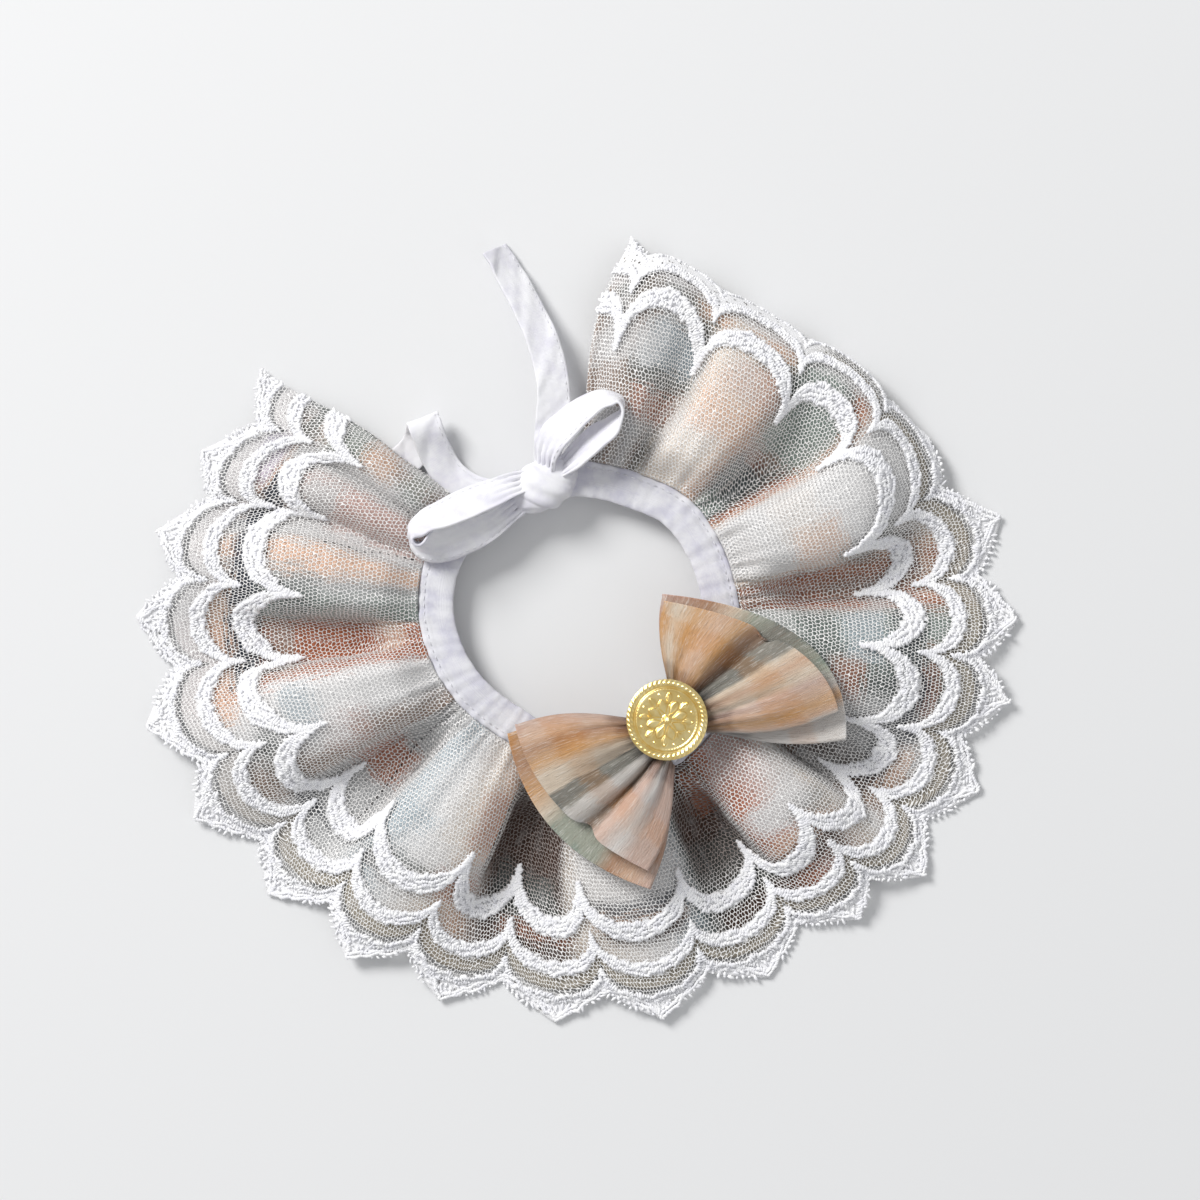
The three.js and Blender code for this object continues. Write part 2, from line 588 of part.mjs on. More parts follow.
function tie(spec) {
  const line = new THREE.CatmullRomCurve3(spec.rows.map((row) => new THREE.Vector3(row.x, row.y, row.z)));
  const last = spec.rows.length - 1;
  const turns = spec.rows.map(({ facing, tilt, width }, i) => ({ share: i / last, facing, tilt, width }));
  const face = (side) => (i, j) => {
    const share = i / spec.columns;
    const ahead = line.getTangent(share);
    const tilt = radians(along(turns, "share", "tilt", share));
    const across = polar(along(turns, "share", "facing", share), Math.cos(tilt), Math.sin(tilt));
    across.addScaledVector(ahead, -across.dot(ahead)).normalize();
    const out = ahead.clone().cross(across);
    const w = (j / 2 - 0.5) * along(turns, "share", "width", share);
    return line.getPoint(share).addScaledVector(across, w).addScaledVector(out, side * (TIE_THICK / 2));
  };
  return wall(spec.columns, 2, face(-1), face(1));
}

// The knot: a drawn-up ball of tape, longer towards the loops. grown makes it larger all round.
function tieKnot(grown = 0) {
  const geometry = new THREE.SphereGeometry(1, 18, 10);
  geometry.deleteAttribute("normal");
  geometry.deleteAttribute("uv");
  const half = [KNOT.length, KNOT.width, KNOT.height].map((size) => size / 2 + grown);
  return mergeVertices(geometry, 1e-3)
    .scale(...half)
    .rotateZ(radians(KNOT.turn))
    .translate(KNOT.x, KNOT.y, KNOT.z);
}

// A piece of tape ends where it goes into the knot.
function intoKnot(geometry) {
  const rest = solid(geometry).subtract(solid(tieKnot(SEAM_GAP + 0.1))).getMesh();
  const cut = new THREE.BufferGeometry();
  cut.setAttribute("position", new THREE.Float32BufferAttribute(rest.vertProperties, 3));
  cut.setIndex([...rest.triVerts]);
  return cut;
}

// ---- Materials ----------------------------------------------------------------------------------------------
const finish = (color, roughness, metalness = 0) => new THREE.MeshStandardMaterial({ color, roughness, metalness });
const PLAID = finish(0xc8b4a8, 0.9);
const LACE = finish(0xf4f3f1, 0.95);
const TAPE = finish(0xf1f1f6, 0.85);
const BOW_CLOTH = finish(0xd9a888, 0.75);
const BRASS = finish(0xd8b44a, 0.3, 1);

// ---- The collar ---------------------------------------------------------------------------------------------
const collar = new THREE.Group();

function add(name, geometry, material, parent = collar) {
  const mesh = new THREE.Mesh(geometry, material);
  mesh.name = name;
  parent.add(mesh);
  return mesh;
}

add("neck_tape", intoKnot(neckTape()), TAPE);
add("cloth_ruffle", clothRuffle(), PLAID);
add("lace_ruffle", laceRuffle(), LACE);

const bow = new THREE.Group();
bow.position.set(BOW_CENTRE.x, BOW_CENTRE.y, 0);
bow.rotation.z = radians(BOW_ANGLE);
collar.add(bow);
for (const spec of WINGS) add(spec.name, wing(spec), BOW_CLOTH, bow);
add("bow_centre", bowCentre(), TAPE, bow);
const disc = add("button", button(), BRASS, bow);
disc.rotation.x = Math.PI / 2;
disc.position.z = BOW_UNDER + 8.4 + SEAM_GAP;

for (const spec of TIES) add(spec.name, intoKnot(tie(spec)), TAPE);
add("tie_knot", tieKnot(), TAPE);

// The origin is under the middle of the collar's own box, on the table.
collar.updateMatrixWorld(true);
const box = new THREE.Box3().setFromObject(collar);
const centre = box.getCenter(new THREE.Vector3());
collar.position.set(-centre.x, -centre.y, -box.min.z);

export default collar;
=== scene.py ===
"""The looks of a lace bow tie collar that lies flat and face up on a pale table.

Sizes are in millimetres from the middle of the neck opening, seen from above, until a mesh is made of
them. A place along the ruffle is a number of lace repeats, clockwise from its right end, and a distance
down the cloth is counted from the neck tape.
"""

import math

import bpy
import numpy as np
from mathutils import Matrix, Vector


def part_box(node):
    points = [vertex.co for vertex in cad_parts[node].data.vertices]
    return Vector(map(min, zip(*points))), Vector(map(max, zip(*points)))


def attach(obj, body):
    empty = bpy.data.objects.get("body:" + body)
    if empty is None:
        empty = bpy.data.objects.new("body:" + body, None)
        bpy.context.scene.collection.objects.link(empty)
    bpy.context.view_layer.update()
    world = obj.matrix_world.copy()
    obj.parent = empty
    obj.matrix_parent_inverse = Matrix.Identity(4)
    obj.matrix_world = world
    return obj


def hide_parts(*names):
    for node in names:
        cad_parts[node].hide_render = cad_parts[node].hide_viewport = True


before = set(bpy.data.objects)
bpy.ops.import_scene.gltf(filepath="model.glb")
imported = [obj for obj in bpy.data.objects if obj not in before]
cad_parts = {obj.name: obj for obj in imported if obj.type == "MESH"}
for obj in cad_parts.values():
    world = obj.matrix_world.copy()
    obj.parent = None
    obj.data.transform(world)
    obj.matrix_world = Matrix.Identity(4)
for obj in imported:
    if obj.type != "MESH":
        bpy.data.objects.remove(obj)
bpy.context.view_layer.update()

MM = 0.001

# ---- Driving sizes, as the solids have them -----------------------------------------------------------
BUTTON_PLACE = (26.7, -27.6)
BUTTON_RADIUS = 12.0
TAPE_WIDTH = 10.5
TAPE_THICK = 2.6
TAPE_LIFT = 6.0
SEAM_GAP = 0.3
RUFFLE_DEPTH = 86.0
POINT_DEPTH = 11.5
CLOTH_INSET = 1.5
MID_SHARE = 0.32
REPEAT_WIDTH = 30.0  # the flat width of one repeat of the lace
BOW_ANGLE = 39.0
BOW_UNDER = 14.5

# Cuts and lines that more than one piece shares.
LOOP_SPREAD = 64.0  # how wide the cloth of a bow loop is at its outer fold
TAPE_SAG = [(61.0, 0.25, 0.6), (37.0, 0.2, 2.2)]  # slow waves of the neck tape along its length
TAPE_SEAM_INSET = 1.5  # from the neck tape's outer edge
TAPE_MEAN_RADIUS = 42.0
TAPE_PER_DEGREE = 0.733  # length of tape in a degree at that radius
LEAST_HEIGHT = 0.12  # of the middle of a ruffle's sheet
CREASE_GAIN = 1.3  # on the lifts of the ruffle's creases

button_low, button_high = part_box("button")
NECK_X = (button_low.x + button_high.x) / 2 - BUTTON_PLACE[0] * MM
NECK_Y = (button_low.y + button_high.y) / 2 - BUTTON_PLACE[1] * MM
BUTTON_UNDER = button_low.z / MM


def table(columns, text):
    """Rows of numbers under named columns, as a dictionary of arrays."""
    rows = [line.split() for line in text.strip().splitlines()]
    return {name: np.array([float(row[i]) for row in rows]) for i, name in enumerate(columns.split())}


# The neck tape's centre line: direction in degrees and distance from the middle of the neck.
TAPE_LINE = table("deg radius", """
    110 44.6
    68 43.8
    50 45.3
    32 44.4
    10 43.4
    -15 44.7
    -41 46.2
    -58 45.3
    -85 40.5
    -105 36.9
    -120 35.1
    -135 35.7
    -153 37.7
    -171 40.2
    -190 42.9
    -210 44.6
    -235 44.4
    -262 44.6
""")

# The tips of the lace, one for each repeat: direction and reach.
LACE_TIPS = table("deg reach", """
    82 118.5
    74.2 112
    58.5 108.5
    44.7 113
    28.4 120
    14.3 132
    0.8 133.5
    -10 132.5
    -22.6 131.5
    -35.7 129.5
    -46 123
    -61.4 121
    -77.7 121.5
    -93.2 120
    -110.2 120.5
    -124.8 122
    -138.9 124
    -153.3 129.5
    -166.9 133.5
    -181.2 133.5
    -192.8 130
    -205 125
    -219 123
""")
REPEATS = len(LACE_TIPS["deg"]) - 1
LACE_TIPS["repeat"] = np.arange(REPEATS + 1.0)

# Hollows and crests of the ruffle in turn. band and mid are directions at the neck tape and a third of the
# way out, rise is the cloth's height, and tuck turns the flank after the row in under its crest.
FOLDS = table("repeat band mid rise tuck", """
    0 88 87.5 4 0
    0.85 79 76 12 0
    1.4 71 67 7 0.5
    2 56 56.5 19 0.25
    3 41 38.5 5 0.2
    4 26 23.5 17 1
    5.35 9.5 8.5 0 0.2
    6.7 -4 -7 11 0.4
    8.4 -24 -27 0 1
    9.55 -38 -41 14 0.7
    10.75 -57 -57 0 0.3
    11.9 -74 -77 9 0.3
    13.5 -100 -103.5 0 0.8
    14.95 -126 -124.5 16 1
    16.3 -144 -143.5 0 0.7
    17.6 -160 -161 16 1
    18.75 -178 -178 0.5 0.4
    19.75 -193 -191.5 14 0.5
    20.35 -203 -203 6 0
    20.8 -209 -208.5 12 0
    21.2 -214.5 -214 8 0
    21.6 -220 -219 13 0
    22 -227 -223.5 4 0
""")

# Section of half a fold from its crest to the hollow: at the neck tape, on a tucked flank and on an open one.
FOLD_SECTION = table("share band_across band_up tuck_across tuck_up open_across open_up", """
    0 0 1 0 1 0 1
    0.16667 0.22 1 0.25 0.97 0.21 0.95
    0.33333 0.43 0.95 0.48 0.84 0.4 0.8
    0.5 0.6 0.72 0.6 0.52 0.55 0.55
    0.66667 0.7 0.34 0.57 0.18 0.68 0.26
    0.83333 0.82 0.05 0.75 -0.03 0.82 0.02
    1 1 0 1 -0.03 1 -0.03
""")
CREST_LINE = table("share up", """
    0 0.6
    0.14 0.88
    0.32 1
    0.52 0.88
    0.7 0.5
    0.85 0.3
    1 0.2
""")
DROOP_LINE = table("share out up", """
    0 0 0.5
    0.3 0.4 0.85
    0.52 0.71 1
    0.68 0.88 0.85
    0.8 0.96 0.6
    0.9 1 0.32
    1 0.985 0.04
""")
DROOP_RISE = 17.0
DROOP_START, DROOP_FULL, DROOP_EASE, DROOP_END = -0.6, 1.0, 3.2, 4.9

# Soft creases in the ruffle: where they start and end, how wide they are and how far they stand up, or
# sink where that is negative.
CREASES = table("repeat depth to_repeat to_depth width lift", """
    0.4 6 0.6 40 2.6 0.7
    1 4 1.1 30 2 -0.6
    1.1 3 0.8 44 2.4 0.8
    1.8 5 2 36 3 -0.7
    2.2 10 2.4 52 2.2 0.5
    3.4 4 3.2 34 2.6 -0.8
    3.8 8 3.6 50 2.8 0.7
    4.4 3 4.7 40 2.4 -0.7
    5 12 5.1 48 2.2 0.5
    6.2 4 6.1 30 2.4 0.6
    6.7 6 7 46 3 -0.6
    7.5 3 7.7 38 2.2 0.7
    9.3 4 9.1 42 2.6 -0.7
    9.9 6 10.1 50 2.4 0.7
    11.5 5 11.3 40 2.8 0.6
    12.4 4 12.7 36 2.2 -0.7
    14.4 3 14.1 44 2.6 0.8
    15 6 15.2 54 3.2 -0.7
    15.6 4 15.8 38 2.2 0.6
    17.1 5 16.9 46 2.6 -0.8
    17.8 3 17.9 52 3 0.7
    18.3 6 18.5 36 2.2 -0.6
    19.5 4 19.4 44 2.6 0.7
    20.1 5 20.2 34 2.2 -0.6
    20.9 4 20.8 40 2.4 0.6
    21.6 5 21.7 46 2.4 -0.7
""")


# ---- Small mathematics --------------------------------------------------------------------------------
def mix(a, b, share):
    return a + (b - a) * share


def ramp(x, start, end):
    t = np.clip((x - start) / (end - start), 0.0, 1.0)
    return t * t * (3 - 2 * t)


def along(rows, key, column, x):
    """A smooth curve through a table's column, read at x."""
    keys, values = rows[key], rows[column]
    if keys[0] > keys[-1]:
        keys, values = keys[::-1], values[::-1]
    before = np.r_[0, np.arange(len(keys) - 1)]
    after = np.r_[np.arange(1, len(keys)), len(keys) - 1]
    slope = (values[after] - values[before]) / (keys[after] - keys[before])
    x = np.asarray(x, float)
    i = np.clip(np.searchsorted(keys, x, side="right") - 1, 0, len(keys) - 2)
    span = keys[i + 1] - keys[i]
    u = np.clip((x - keys[i]) / span, 0.0, 1.0)
    return (
        (2 * u**3 - 3 * u**2 + 1) * values[i]
        + (u**3 - 2 * u**2 + u) * span * slope[i]
        + (3 * u**2 - 2 * u**3) * values[i + 1]
        + (u**3 - u**2) * span * slope[i + 1]
    )


def stacked(x, y, z):
    """Points from their three coordinates, as numbers or arrays."""
    return np.stack(np.broadcast_arrays(x, y, z), axis=-1)


def polar(deg, radius, z):
    angle = np.radians(deg)
    return stacked(np.cos(angle) * radius, np.sin(angle) * radius, z)


def turned(points, deg, place):
    """Points turned round the upright axis and moved by a place."""
    cos, sin = math.cos(math.radians(deg)), math.sin(math.radians(deg))
    x, y, z = np.moveaxis(points, -1, 0)
    return stacked(place[0] + x * cos - y * sin, place[1] + x * sin + y * cos, place[2] + z)


def bell(x, middle, width):
    """1 at the middle, falling smoothly to 0 on both sides."""
    return np.exp(-(((x - middle) / width) ** 2))


def squared(wave, power):
    """A sine or cosine flattened towards a square's side, with its sign kept."""
    return np.sign(wave) * np.abs(wave) ** power


def run_lengths(grid, axis):
    """The distance covered along one axis of a grid of points, from 0."""
    steps = np.linalg.norm(np.diff(grid, axis=axis), axis=2)
    start = np.zeros_like(np.take(steps, [0], axis=axis))
    return np.concatenate([start, np.cumsum(steps, axis=axis)], axis=axis)


def unit(vectors):
    return vectors / np.maximum(np.linalg.norm(vectors, axis=-1, keepdims=True), 1e-9)


def waves(x, rows):
    """A sum of sine waves, uneven because their lengths have no common measure."""
    return sum(size * np.sin(2 * np.pi * x / length + phase) for length, size, phase in rows)


def surface_normals(grid):
    """Normals of a grid of points whose columns run clockwise and whose rows run outwards."""
    return unit(np.cross(np.gradient(grid, axis=0), np.gradient(grid, axis=1)))


# ---- The ruffle ---------------------------------------------------------------------------------------
def tape_radius(deg):
    return along(TAPE_LINE, "deg", "radius", deg)


def fold_at(repeat, share):
    """Direction and height of the ruffle's underside at a place."""
    at = FOLDS["repeat"]
    i = np.clip(np.searchsorted(at, repeat, side="right") - 1, 0, len(at) - 2)
    crest = np.where(i % 2 == 1, i, i + 1)
    hollow = np.where(i % 2 == 1, i + 1, i)
    p = np.clip((repeat - at[crest]) / (at[hollow] - at[crest]), 0.0, 1.0)
    tuck = FOLDS["tuck"][i]
    opening, hemming = ramp(share, 0, 0.26), ramp(share, 0.46, 0.86)

    def section(which):
        kinds = ("band", "tuck", "open")
        band, tucked, opened = (along(FOLD_SECTION, "share", f"{kind}_{which}", p) for kind in kinds)
        return mix(band, mix(opened, tucked, tuck), opening)

    middle = np.minimum(1.0, share / MID_SHARE)
    from_crest, to_hollow = (mix(FOLDS["band"][k], FOLDS["mid"][k], middle) for k in (crest, hollow))
    folded = mix(from_crest, to_hollow, mix(section("across"), p, hemming))
    seam = TAPE_LIFT + 0.8
    crest_line = along(CREST_LINE, "share", "up", share)
    crest_up = mix(seam + 1.2, FOLDS["rise"][crest] * crest_line, ramp(share, 0, 0.14))
    hollow_up = mix(seam, FOLDS["rise"][hollow] * crest_line, ramp(share, 0.02, 0.24))
    wave = (1 + np.cos(np.pi * p)) / 2
    deg = mix(folded, along(LACE_TIPS, "repeat", "deg", repeat), ramp(share, MID_SHARE, 1))
    return deg, mix(hollow_up, crest_up, mix(section("up"), wave, hemming))


def ruffle(repeat, depth):
    """Points of the ruffle's underside."""
    repeat, depth = np.broadcast_arrays(np.asarray(repeat, float), np.asarray(depth, float))
    share = depth / RUFFLE_DEPTH
    deg, height = fold_at(repeat, share)
    droop = ramp(repeat, DROOP_START, DROOP_FULL) * (1 - ramp(repeat, DROOP_EASE, DROOP_END))
    inner = tape_radius(deg) + TAPE_WIDTH / 2 + SEAM_GAP
    out = mix(share, along(DROOP_LINE, "share", "out", share), droop)
    radius = mix(inner, along(LACE_TIPS, "repeat", "reach", repeat), out)
    folds_left = 0.25 * np.maximum(height, 0) * (1 - ramp(share, 0.5, 0.8))
    drooped = folds_left + DROOP_RISE * along(DROOP_LINE, "share", "up", share)
    return polar(deg, radius, np.maximum(0.0, mix(height, drooped, droop * ramp(share, 0.3, 0.68))))


def crumple(repeat, depth):
    """How far the cloth's creases and gathers move it off its main form."""
    gathers = waves(repeat * REPEAT_WIDTH, [(9.7, 0.5, 0.4), (6.1, 0.38, 1.9), (14.3, 0.4, 4.2)])
    move = gathers * np.exp(-depth / 15.0) * ramp(depth, 0, 3)
    for from_repeat, from_depth, to_repeat, to_depth, width, lift in zip(*CREASES.values()):
        start = np.array([from_repeat * REPEAT_WIDTH, from_depth])
        line = np.array([to_repeat * REPEAT_WIDTH, to_depth]) - start
        x, y = repeat * REPEAT_WIDTH - start[0], depth - start[1]
        t = np.clip((x * line[0] + y * line[1]) / (line @ line), 0, 1)
        away = np.hypot(x - t * line[0], y - t * line[1]) / width
        fading = np.sin(np.pi * np.clip(t, 0.05, 0.95)) ** 0.7
        move = move + CREASE_GAIN * lift * np.exp(-(away**2)) * fading
    across = waves(depth + 3 * np.sin(repeat * 2.1), [(23.0, 0.16, 1.0), (13.7, 0.12, 2.7)])
    return move + across * np.sin(repeat * 5.3 + depth * 0.11) * ramp(depth, 8, 20)


def ruffle_points(repeat, depth, lift):
    """Points at a height above the ruffle's underside, with the direction that the cloth faces there."""
    repeat, depth = np.broadcast_arrays(np.asarray(repeat, float), np.asarray(depth, float))
    step = 0.02
    beyond, before = np.minimum(REPEATS, repeat + step), np.maximum(0, repeat - step)
    sideways = ruffle(beyond, depth) - ruffle(before, depth)
    outwards = ruffle(repeat, depth + 0.5) - ruffle(repeat, np.maximum(0, depth - 0.5))
    facing = unit(np.cross(sideways, outwards))
    free = np.clip(0.9 - depth / RUFFLE_DEPTH * 0.75, 0.15, 0.9)
    points = ruffle(repeat, depth) + facing * (lift + crumple(repeat, depth) * free)[..., None]
    points[..., 2] = np.maximum(points[..., 2], LEAST_HEIGHT)
    return points, facing


# The lace's pattern as distances down the cloth. from_tip runs from 0 at a tip to 1 at a notch.
def from_tip(repeat):
    return np.abs(repeat - np.round(repeat)) * 2


def scallop(repeat):
    return np.sqrt(np.maximum(0, 1 - from_tip(repeat) ** 2))


# The lace's rows: how far down the cloth each lies at a notch, and how much further at a tip.
INNER_ROW = (38.0, 15.0)
OUTER_ROW = (55.0, 12.0)
BORDER_ROW = (65.0, 11.0)


def scalloped(row, wave):
    """A row's distance down the cloth. wave is the scallop there, in numbers or in shader values."""
    at_notch, further = row
    return wave * further + at_notch


def border_line(repeat):
    return scalloped(BORDER_ROW, scallop(repeat))


def edge_line(repeat):
    return RUFFLE_DEPTH - POINT_DEPTH * from_tip(repeat)


CLOTH_LIFT = 0.5  # the plaid cloth lies in the middle of its solid wall
NET_LIFT = 1.9  # the net lies above it, and comes down to the table beyond its hem


def lace_lift(repeat, depth):
    hem = border_line(repeat) - CLOTH_INSET
    return mix(mix(0.9, NET_LIFT, ramp(depth, 0, 7)), 0.45, ramp(depth, hem + 0.8, hem + 5))


# ---- Meshes -------------------------------------------------------------------------------------------
def to_frame(points):
    """Millimetres from the neck's middle to metres in the collar's frame."""
    return np.asarray(points, float) * MM + np.array([NECK_X, NECK_Y, 0.0])


def linked(name, data):
    """A new object in the scene."""
    made = bpy.data.objects.new(name, data)
    bpy.context.scene.collection.objects.link(made)
    return made


def new_mesh(name, points, faces, maps):
    """An object at the origin, from points in millimetres, blocks of faces and UV maps for each corner."""
    mesh = bpy.data.meshes.new(name)
    faces = [np.asarray(block, np.int32) for block in faces]
    corners = np.concatenate([block.ravel() for block in faces])
    sizes = np.concatenate([np.full(len(block), block.shape[1]) for block in faces])
    mesh.vertices.add(len(points))
    mesh.vertices.foreach_set("co", to_frame(points).astype(np.float32).ravel())
    mesh.loops.add(len(corners))
    mesh.loops.foreach_set("vertex_index", corners)
    mesh.polygons.add(len(sizes))
    mesh.polygons.foreach_set("loop_start", np.r_[0, np.cumsum(sizes)[:-1]].astype(np.int32))
    for title, values in maps.items():
        layer = mesh.uv_layers.new(name=title)
        layer.data.foreach_set("uv", np.asarray(values, np.float32).ravel())
    mesh.update(calc_edges=True)
    mesh.validate()
    mesh.polygons.foreach_set("use_smooth", np.full(len(sizes), True))
    return linked(name, mesh)


def grid_quads(columns, rows, start=0, flip=False):
    """Quads of a grid whose point (i, j) has the number start + i * rows + j."""
    i, j = np.meshgrid(np.arange(columns - 1), np.arange(rows - 1), indexing="ij")
    a = start + (i * rows + j).ravel()
    quads = np.stack([a, a + rows, a + rows + 1, a + 1], axis=1)
    return quads[:, ::-1] if flip else quads


def cloth_sheet(name, grid, facing, thick, maps):
    """A closed thin sheet round a grid of points. maps holds, for each UV map, a function of column and row
    numbers, which also gets the column of the quad, so that a map may jump between quads."""
    columns, rows = grid.shape[:2]
    count = columns * rows
    points = np.concatenate([(grid + side * facing * thick / 2).reshape(-1, 3) for side in (1, -1)])
    top, under = grid_quads(columns, rows), grid_quads(columns, rows, count, flip=True)
    ring = np.r_[
        np.arange(columns) * rows,
        (columns - 1) * rows + np.arange(1, rows),
        np.arange(columns - 2, -1, -1) * rows + rows - 1,
        np.arange(rows - 2, -1, -1),
    ][:-1]
    after = np.roll(ring, -1)
    rim = np.stack([ring, ring + count, after + count, after], axis=1)
    faces = np.concatenate([top, under, rim])
    number = faces % count
    i, j = number // rows, number % rows
    quad_column = np.repeat(i.min(axis=1)[:, None], 4, axis=1)
    uv = {title: np.stack(place(i, j, quad_column), axis=-1) for title, place in maps.items()}
    return new_mesh(name, points, [faces], uv)


def tube(name, rings, maps):
    """A closed skin through rings of points, given as an array of ring, corner and axis. maps holds, for
    each UV map, a function of ring and corner numbers."""
    count, corners = rings.shape[:2]
    i, k = (part.ravel() for part in np.meshgrid(np.arange(count - 1), np.arange(corners), indexing="ij"))
    here, ahead, beside = i * corners, (i + 1) * corners, (k + 1) % corners
    quads = np.stack([here + k, here + beside, ahead + beside, ahead + k], axis=1)
    first = np.arange(corners)[::-1]
    last = (count - 1) * corners + np.arange(corners)
    ring, corner = np.stack([i, i, i + 1, i + 1], axis=1), np.stack([k, k + 1, k + 1, k], axis=1)
    on_caps = np.zeros((2 * corners, 2))
    uv = {
        title: np.concatenate([np.stack(place(ring, corner), axis=-1).reshape(-1, 2), on_caps])
        for title, place in maps.items()
    }
    return new_mesh(name, rings.reshape(-1, 3), [quads, first[None, :], last[None, :]], uv)


def polyline(name, runs):
    """Open runs of points with the direction that the surface faces, for threads to be laid along."""
    mesh = bpy.data.meshes.new(name)
    points = np.concatenate([points for points, _ in runs])
    facing = np.concatenate([facing for _, facing in runs])
    edges, start = [], 0
    for run, _ in runs:
        edges += [(start + k, start + k + 1) for k in range(len(run) - 1)]
        start += len(run)
    mesh.from_pydata([tuple(p) for p in to_frame(points)], edges, [])
    layer = mesh.attributes.new("facing", "FLOAT_VECTOR", "POINT")
    layer.data.foreach_set("vector", facing.astype(np.float32).ravel())
    return linked(name, mesh)


# ---- Shader writing -----------------------------------------------------------------------------------
def add_node(tree, kind, settings, inputs):
    """A node with its settings made first, and then the values or links of its sockets."""
    node = tree.nodes.new(kind)
    for key, value in settings.items():
        if key == "stops":
            while len(node.color_ramp.elements) < len(value):
                node.color_ramp.elements.new(0.5)
            for element, (place, colour) in zip(node.color_ramp.elements, value):
                element.position = place
                element.color = (*colour, 1.0)
        elif key == "ramp":
            node.color_ramp.interpolation = value
        else:
            setattr(node, key, value)
    for key, value in inputs.items():
        socket = node.inputs[key]
        if isinstance(value, Value):
            value = value.socket
        if isinstance(value, bpy.types.NodeSocket):
            tree.links.new(value, socket)
        elif isinstance(value, tuple) and len(value) == 3 and len(socket.default_value) == 4:
            socket.default_value = (*value, 1.0)
        else:
            socket.default_value = value
    return node


class Value:
    """A number in a material, on which ordinary sums add Math nodes."""

    def __init__(self, finish, socket):
        self.finish = finish
        self.socket = socket

    def math(self, operation, *others, clamp=False):
        inputs = dict(enumerate([self, *others]))
        node = self.finish.node("ShaderNodeMath", {"operation": operation, "use_clamp": clamp}, inputs)
        return Value(self.finish, node.outputs[0])

    def __add__(self, other):
        return self.math("ADD", other)

    def __sub__(self, other):
        return self.math("SUBTRACT", other)

    def __rsub__(self, other):
        return (self * -1.0).math("ADD", other)

    def __mul__(self, other):
        return self.math("MULTIPLY", other)

    def __truediv__(self, other):
        return self.math("DIVIDE", other)

    def __abs__(self):
        return self.math("ABSOLUTE")

    def sine(self):
        return self.math("SINE")

    def root(self):
        return self.math("SQRT")

    def most(self, other):
        return self.math("MAXIMUM", other)

    def wrapped(self, length):
        return self.math("WRAP", length, 0.0)

    def step(self, start, end):
        """0 below start, 1 above end and smooth between. start may be the larger."""
        node = self.finish.node(
            "ShaderNodeMapRange",
            {"interpolation_type": "SMOOTHSTEP"},
            {"Value": self, "From Min": start, "From Max": end, "To Min": 0.0, "To Max": 1.0},
        )
        return Value(self.finish, node.outputs[0])

    def near(self, place, half, soft):
        """1 within half of a place, falling to 0 over soft."""
        return abs(self - place).step(half + soft, half)


class Finish:
    """A material with one Principled surface. Settings that don't vary go straight on its sockets."""

    def __init__(self, name, **constants):
        self.material = bpy.data.materials.new(name)
        self.material.use_nodes = True
        self.tree = self.material.node_tree
        self.tree.nodes.clear()
        titles = {key.replace("_", " ").title(): value for key, value in constants.items()}
        self.surface = self.node("ShaderNodeBsdfPrincipled", {}, titles)
        self.node("ShaderNodeOutputMaterial", {}, {"Surface": self.surface.outputs[0]})

    def node(self, kind, settings, inputs):
        return add_node(self.tree, kind, settings, inputs)

    def map(self, title):
        """The two numbers of a UV map."""
        uv = self.node("ShaderNodeUVMap", {"uv_map": title}, {})
        parts = self.node("ShaderNodeSeparateXYZ", {}, {0: uv.outputs[0]})
        return Value(self, parts.outputs[0]), Value(self, parts.outputs[1])

    def place(self):
        """Object coordinates in millimetres."""
        coordinates = self.node("ShaderNodeTexCoord", {}, {})
        parts = self.node("ShaderNodeSeparateXYZ", {}, {0: coordinates.outputs["Object"]})
        return [Value(self, output) * (1 / MM) for output in parts.outputs]

    def vector(self, x, y, z=0.0):
        return self.node("ShaderNodeCombineXYZ", {}, {0: x, 1: y, 2: z}).outputs[0]

    def noise(self, place, scale, detail=2.0, roughness=0.5):
        """Noise from 0 to 1 at a place of two or three numbers."""
        inputs = {"Vector": self.vector(*place), "Scale": scale, "Detail": detail, "Roughness": roughness}
        return Value(self, self.node("ShaderNodeTexNoise", {}, inputs).outputs[0])

    def blend(self, factor, first, second):
        """A mix of two colours. Inputs 6 and 7 and output 2 are the Mix node's colour sockets."""
        mixed = self.node("ShaderNodeMix", {"data_type": "RGBA"}, {0: factor, 6: first, 7: second})
        return mixed.outputs[2]

    def ramp(self, value, stops, how="EASE"):
        return self.node("ShaderNodeValToRGB", {"stops": stops, "ramp": how}, {0: value}).outputs[0]

    def set(self, socket, value):
        self.tree.links.new(value.socket if isinstance(value, Value) else value, self.surface.inputs[socket])

    def bump(self, height, strength, distance):
        """distance is how deep the relief is, in millimetres."""
        inputs = {"Strength": strength, "Distance": distance * MM, "Height": height}
        self.set("Normal", self.node("ShaderNodeBump", {}, inputs).outputs[0])


# ---- Dyes and finishes --------------------------------------------------------------------------------
DYES = {
    "white": (0.85, 0.845, 0.85),
    "cream": (0.85, 0.76, 0.67),
    "peach": (0.84, 0.57, 0.42),
    "blush": (0.69, 0.47, 0.42),
    "rust": (0.56, 0.19, 0.09),
    "slate": (0.12, 0.145, 0.14),
    "sage": (0.33, 0.395, 0.36),
    "mist": (0.49, 0.57, 0.62),
    "night": (0.035, 0.045, 0.07),
    "umber": (0.075, 0.035, 0.022),
    "khaki": (0.47, 0.42, 0.34),
    "silver": (0.61, 0.615, 0.62),
    "taupe": (0.40, 0.295, 0.24),
    "pale": (0.86, 0.84, 0.85),
    "lilac": (0.74, 0.70, 0.84),
}
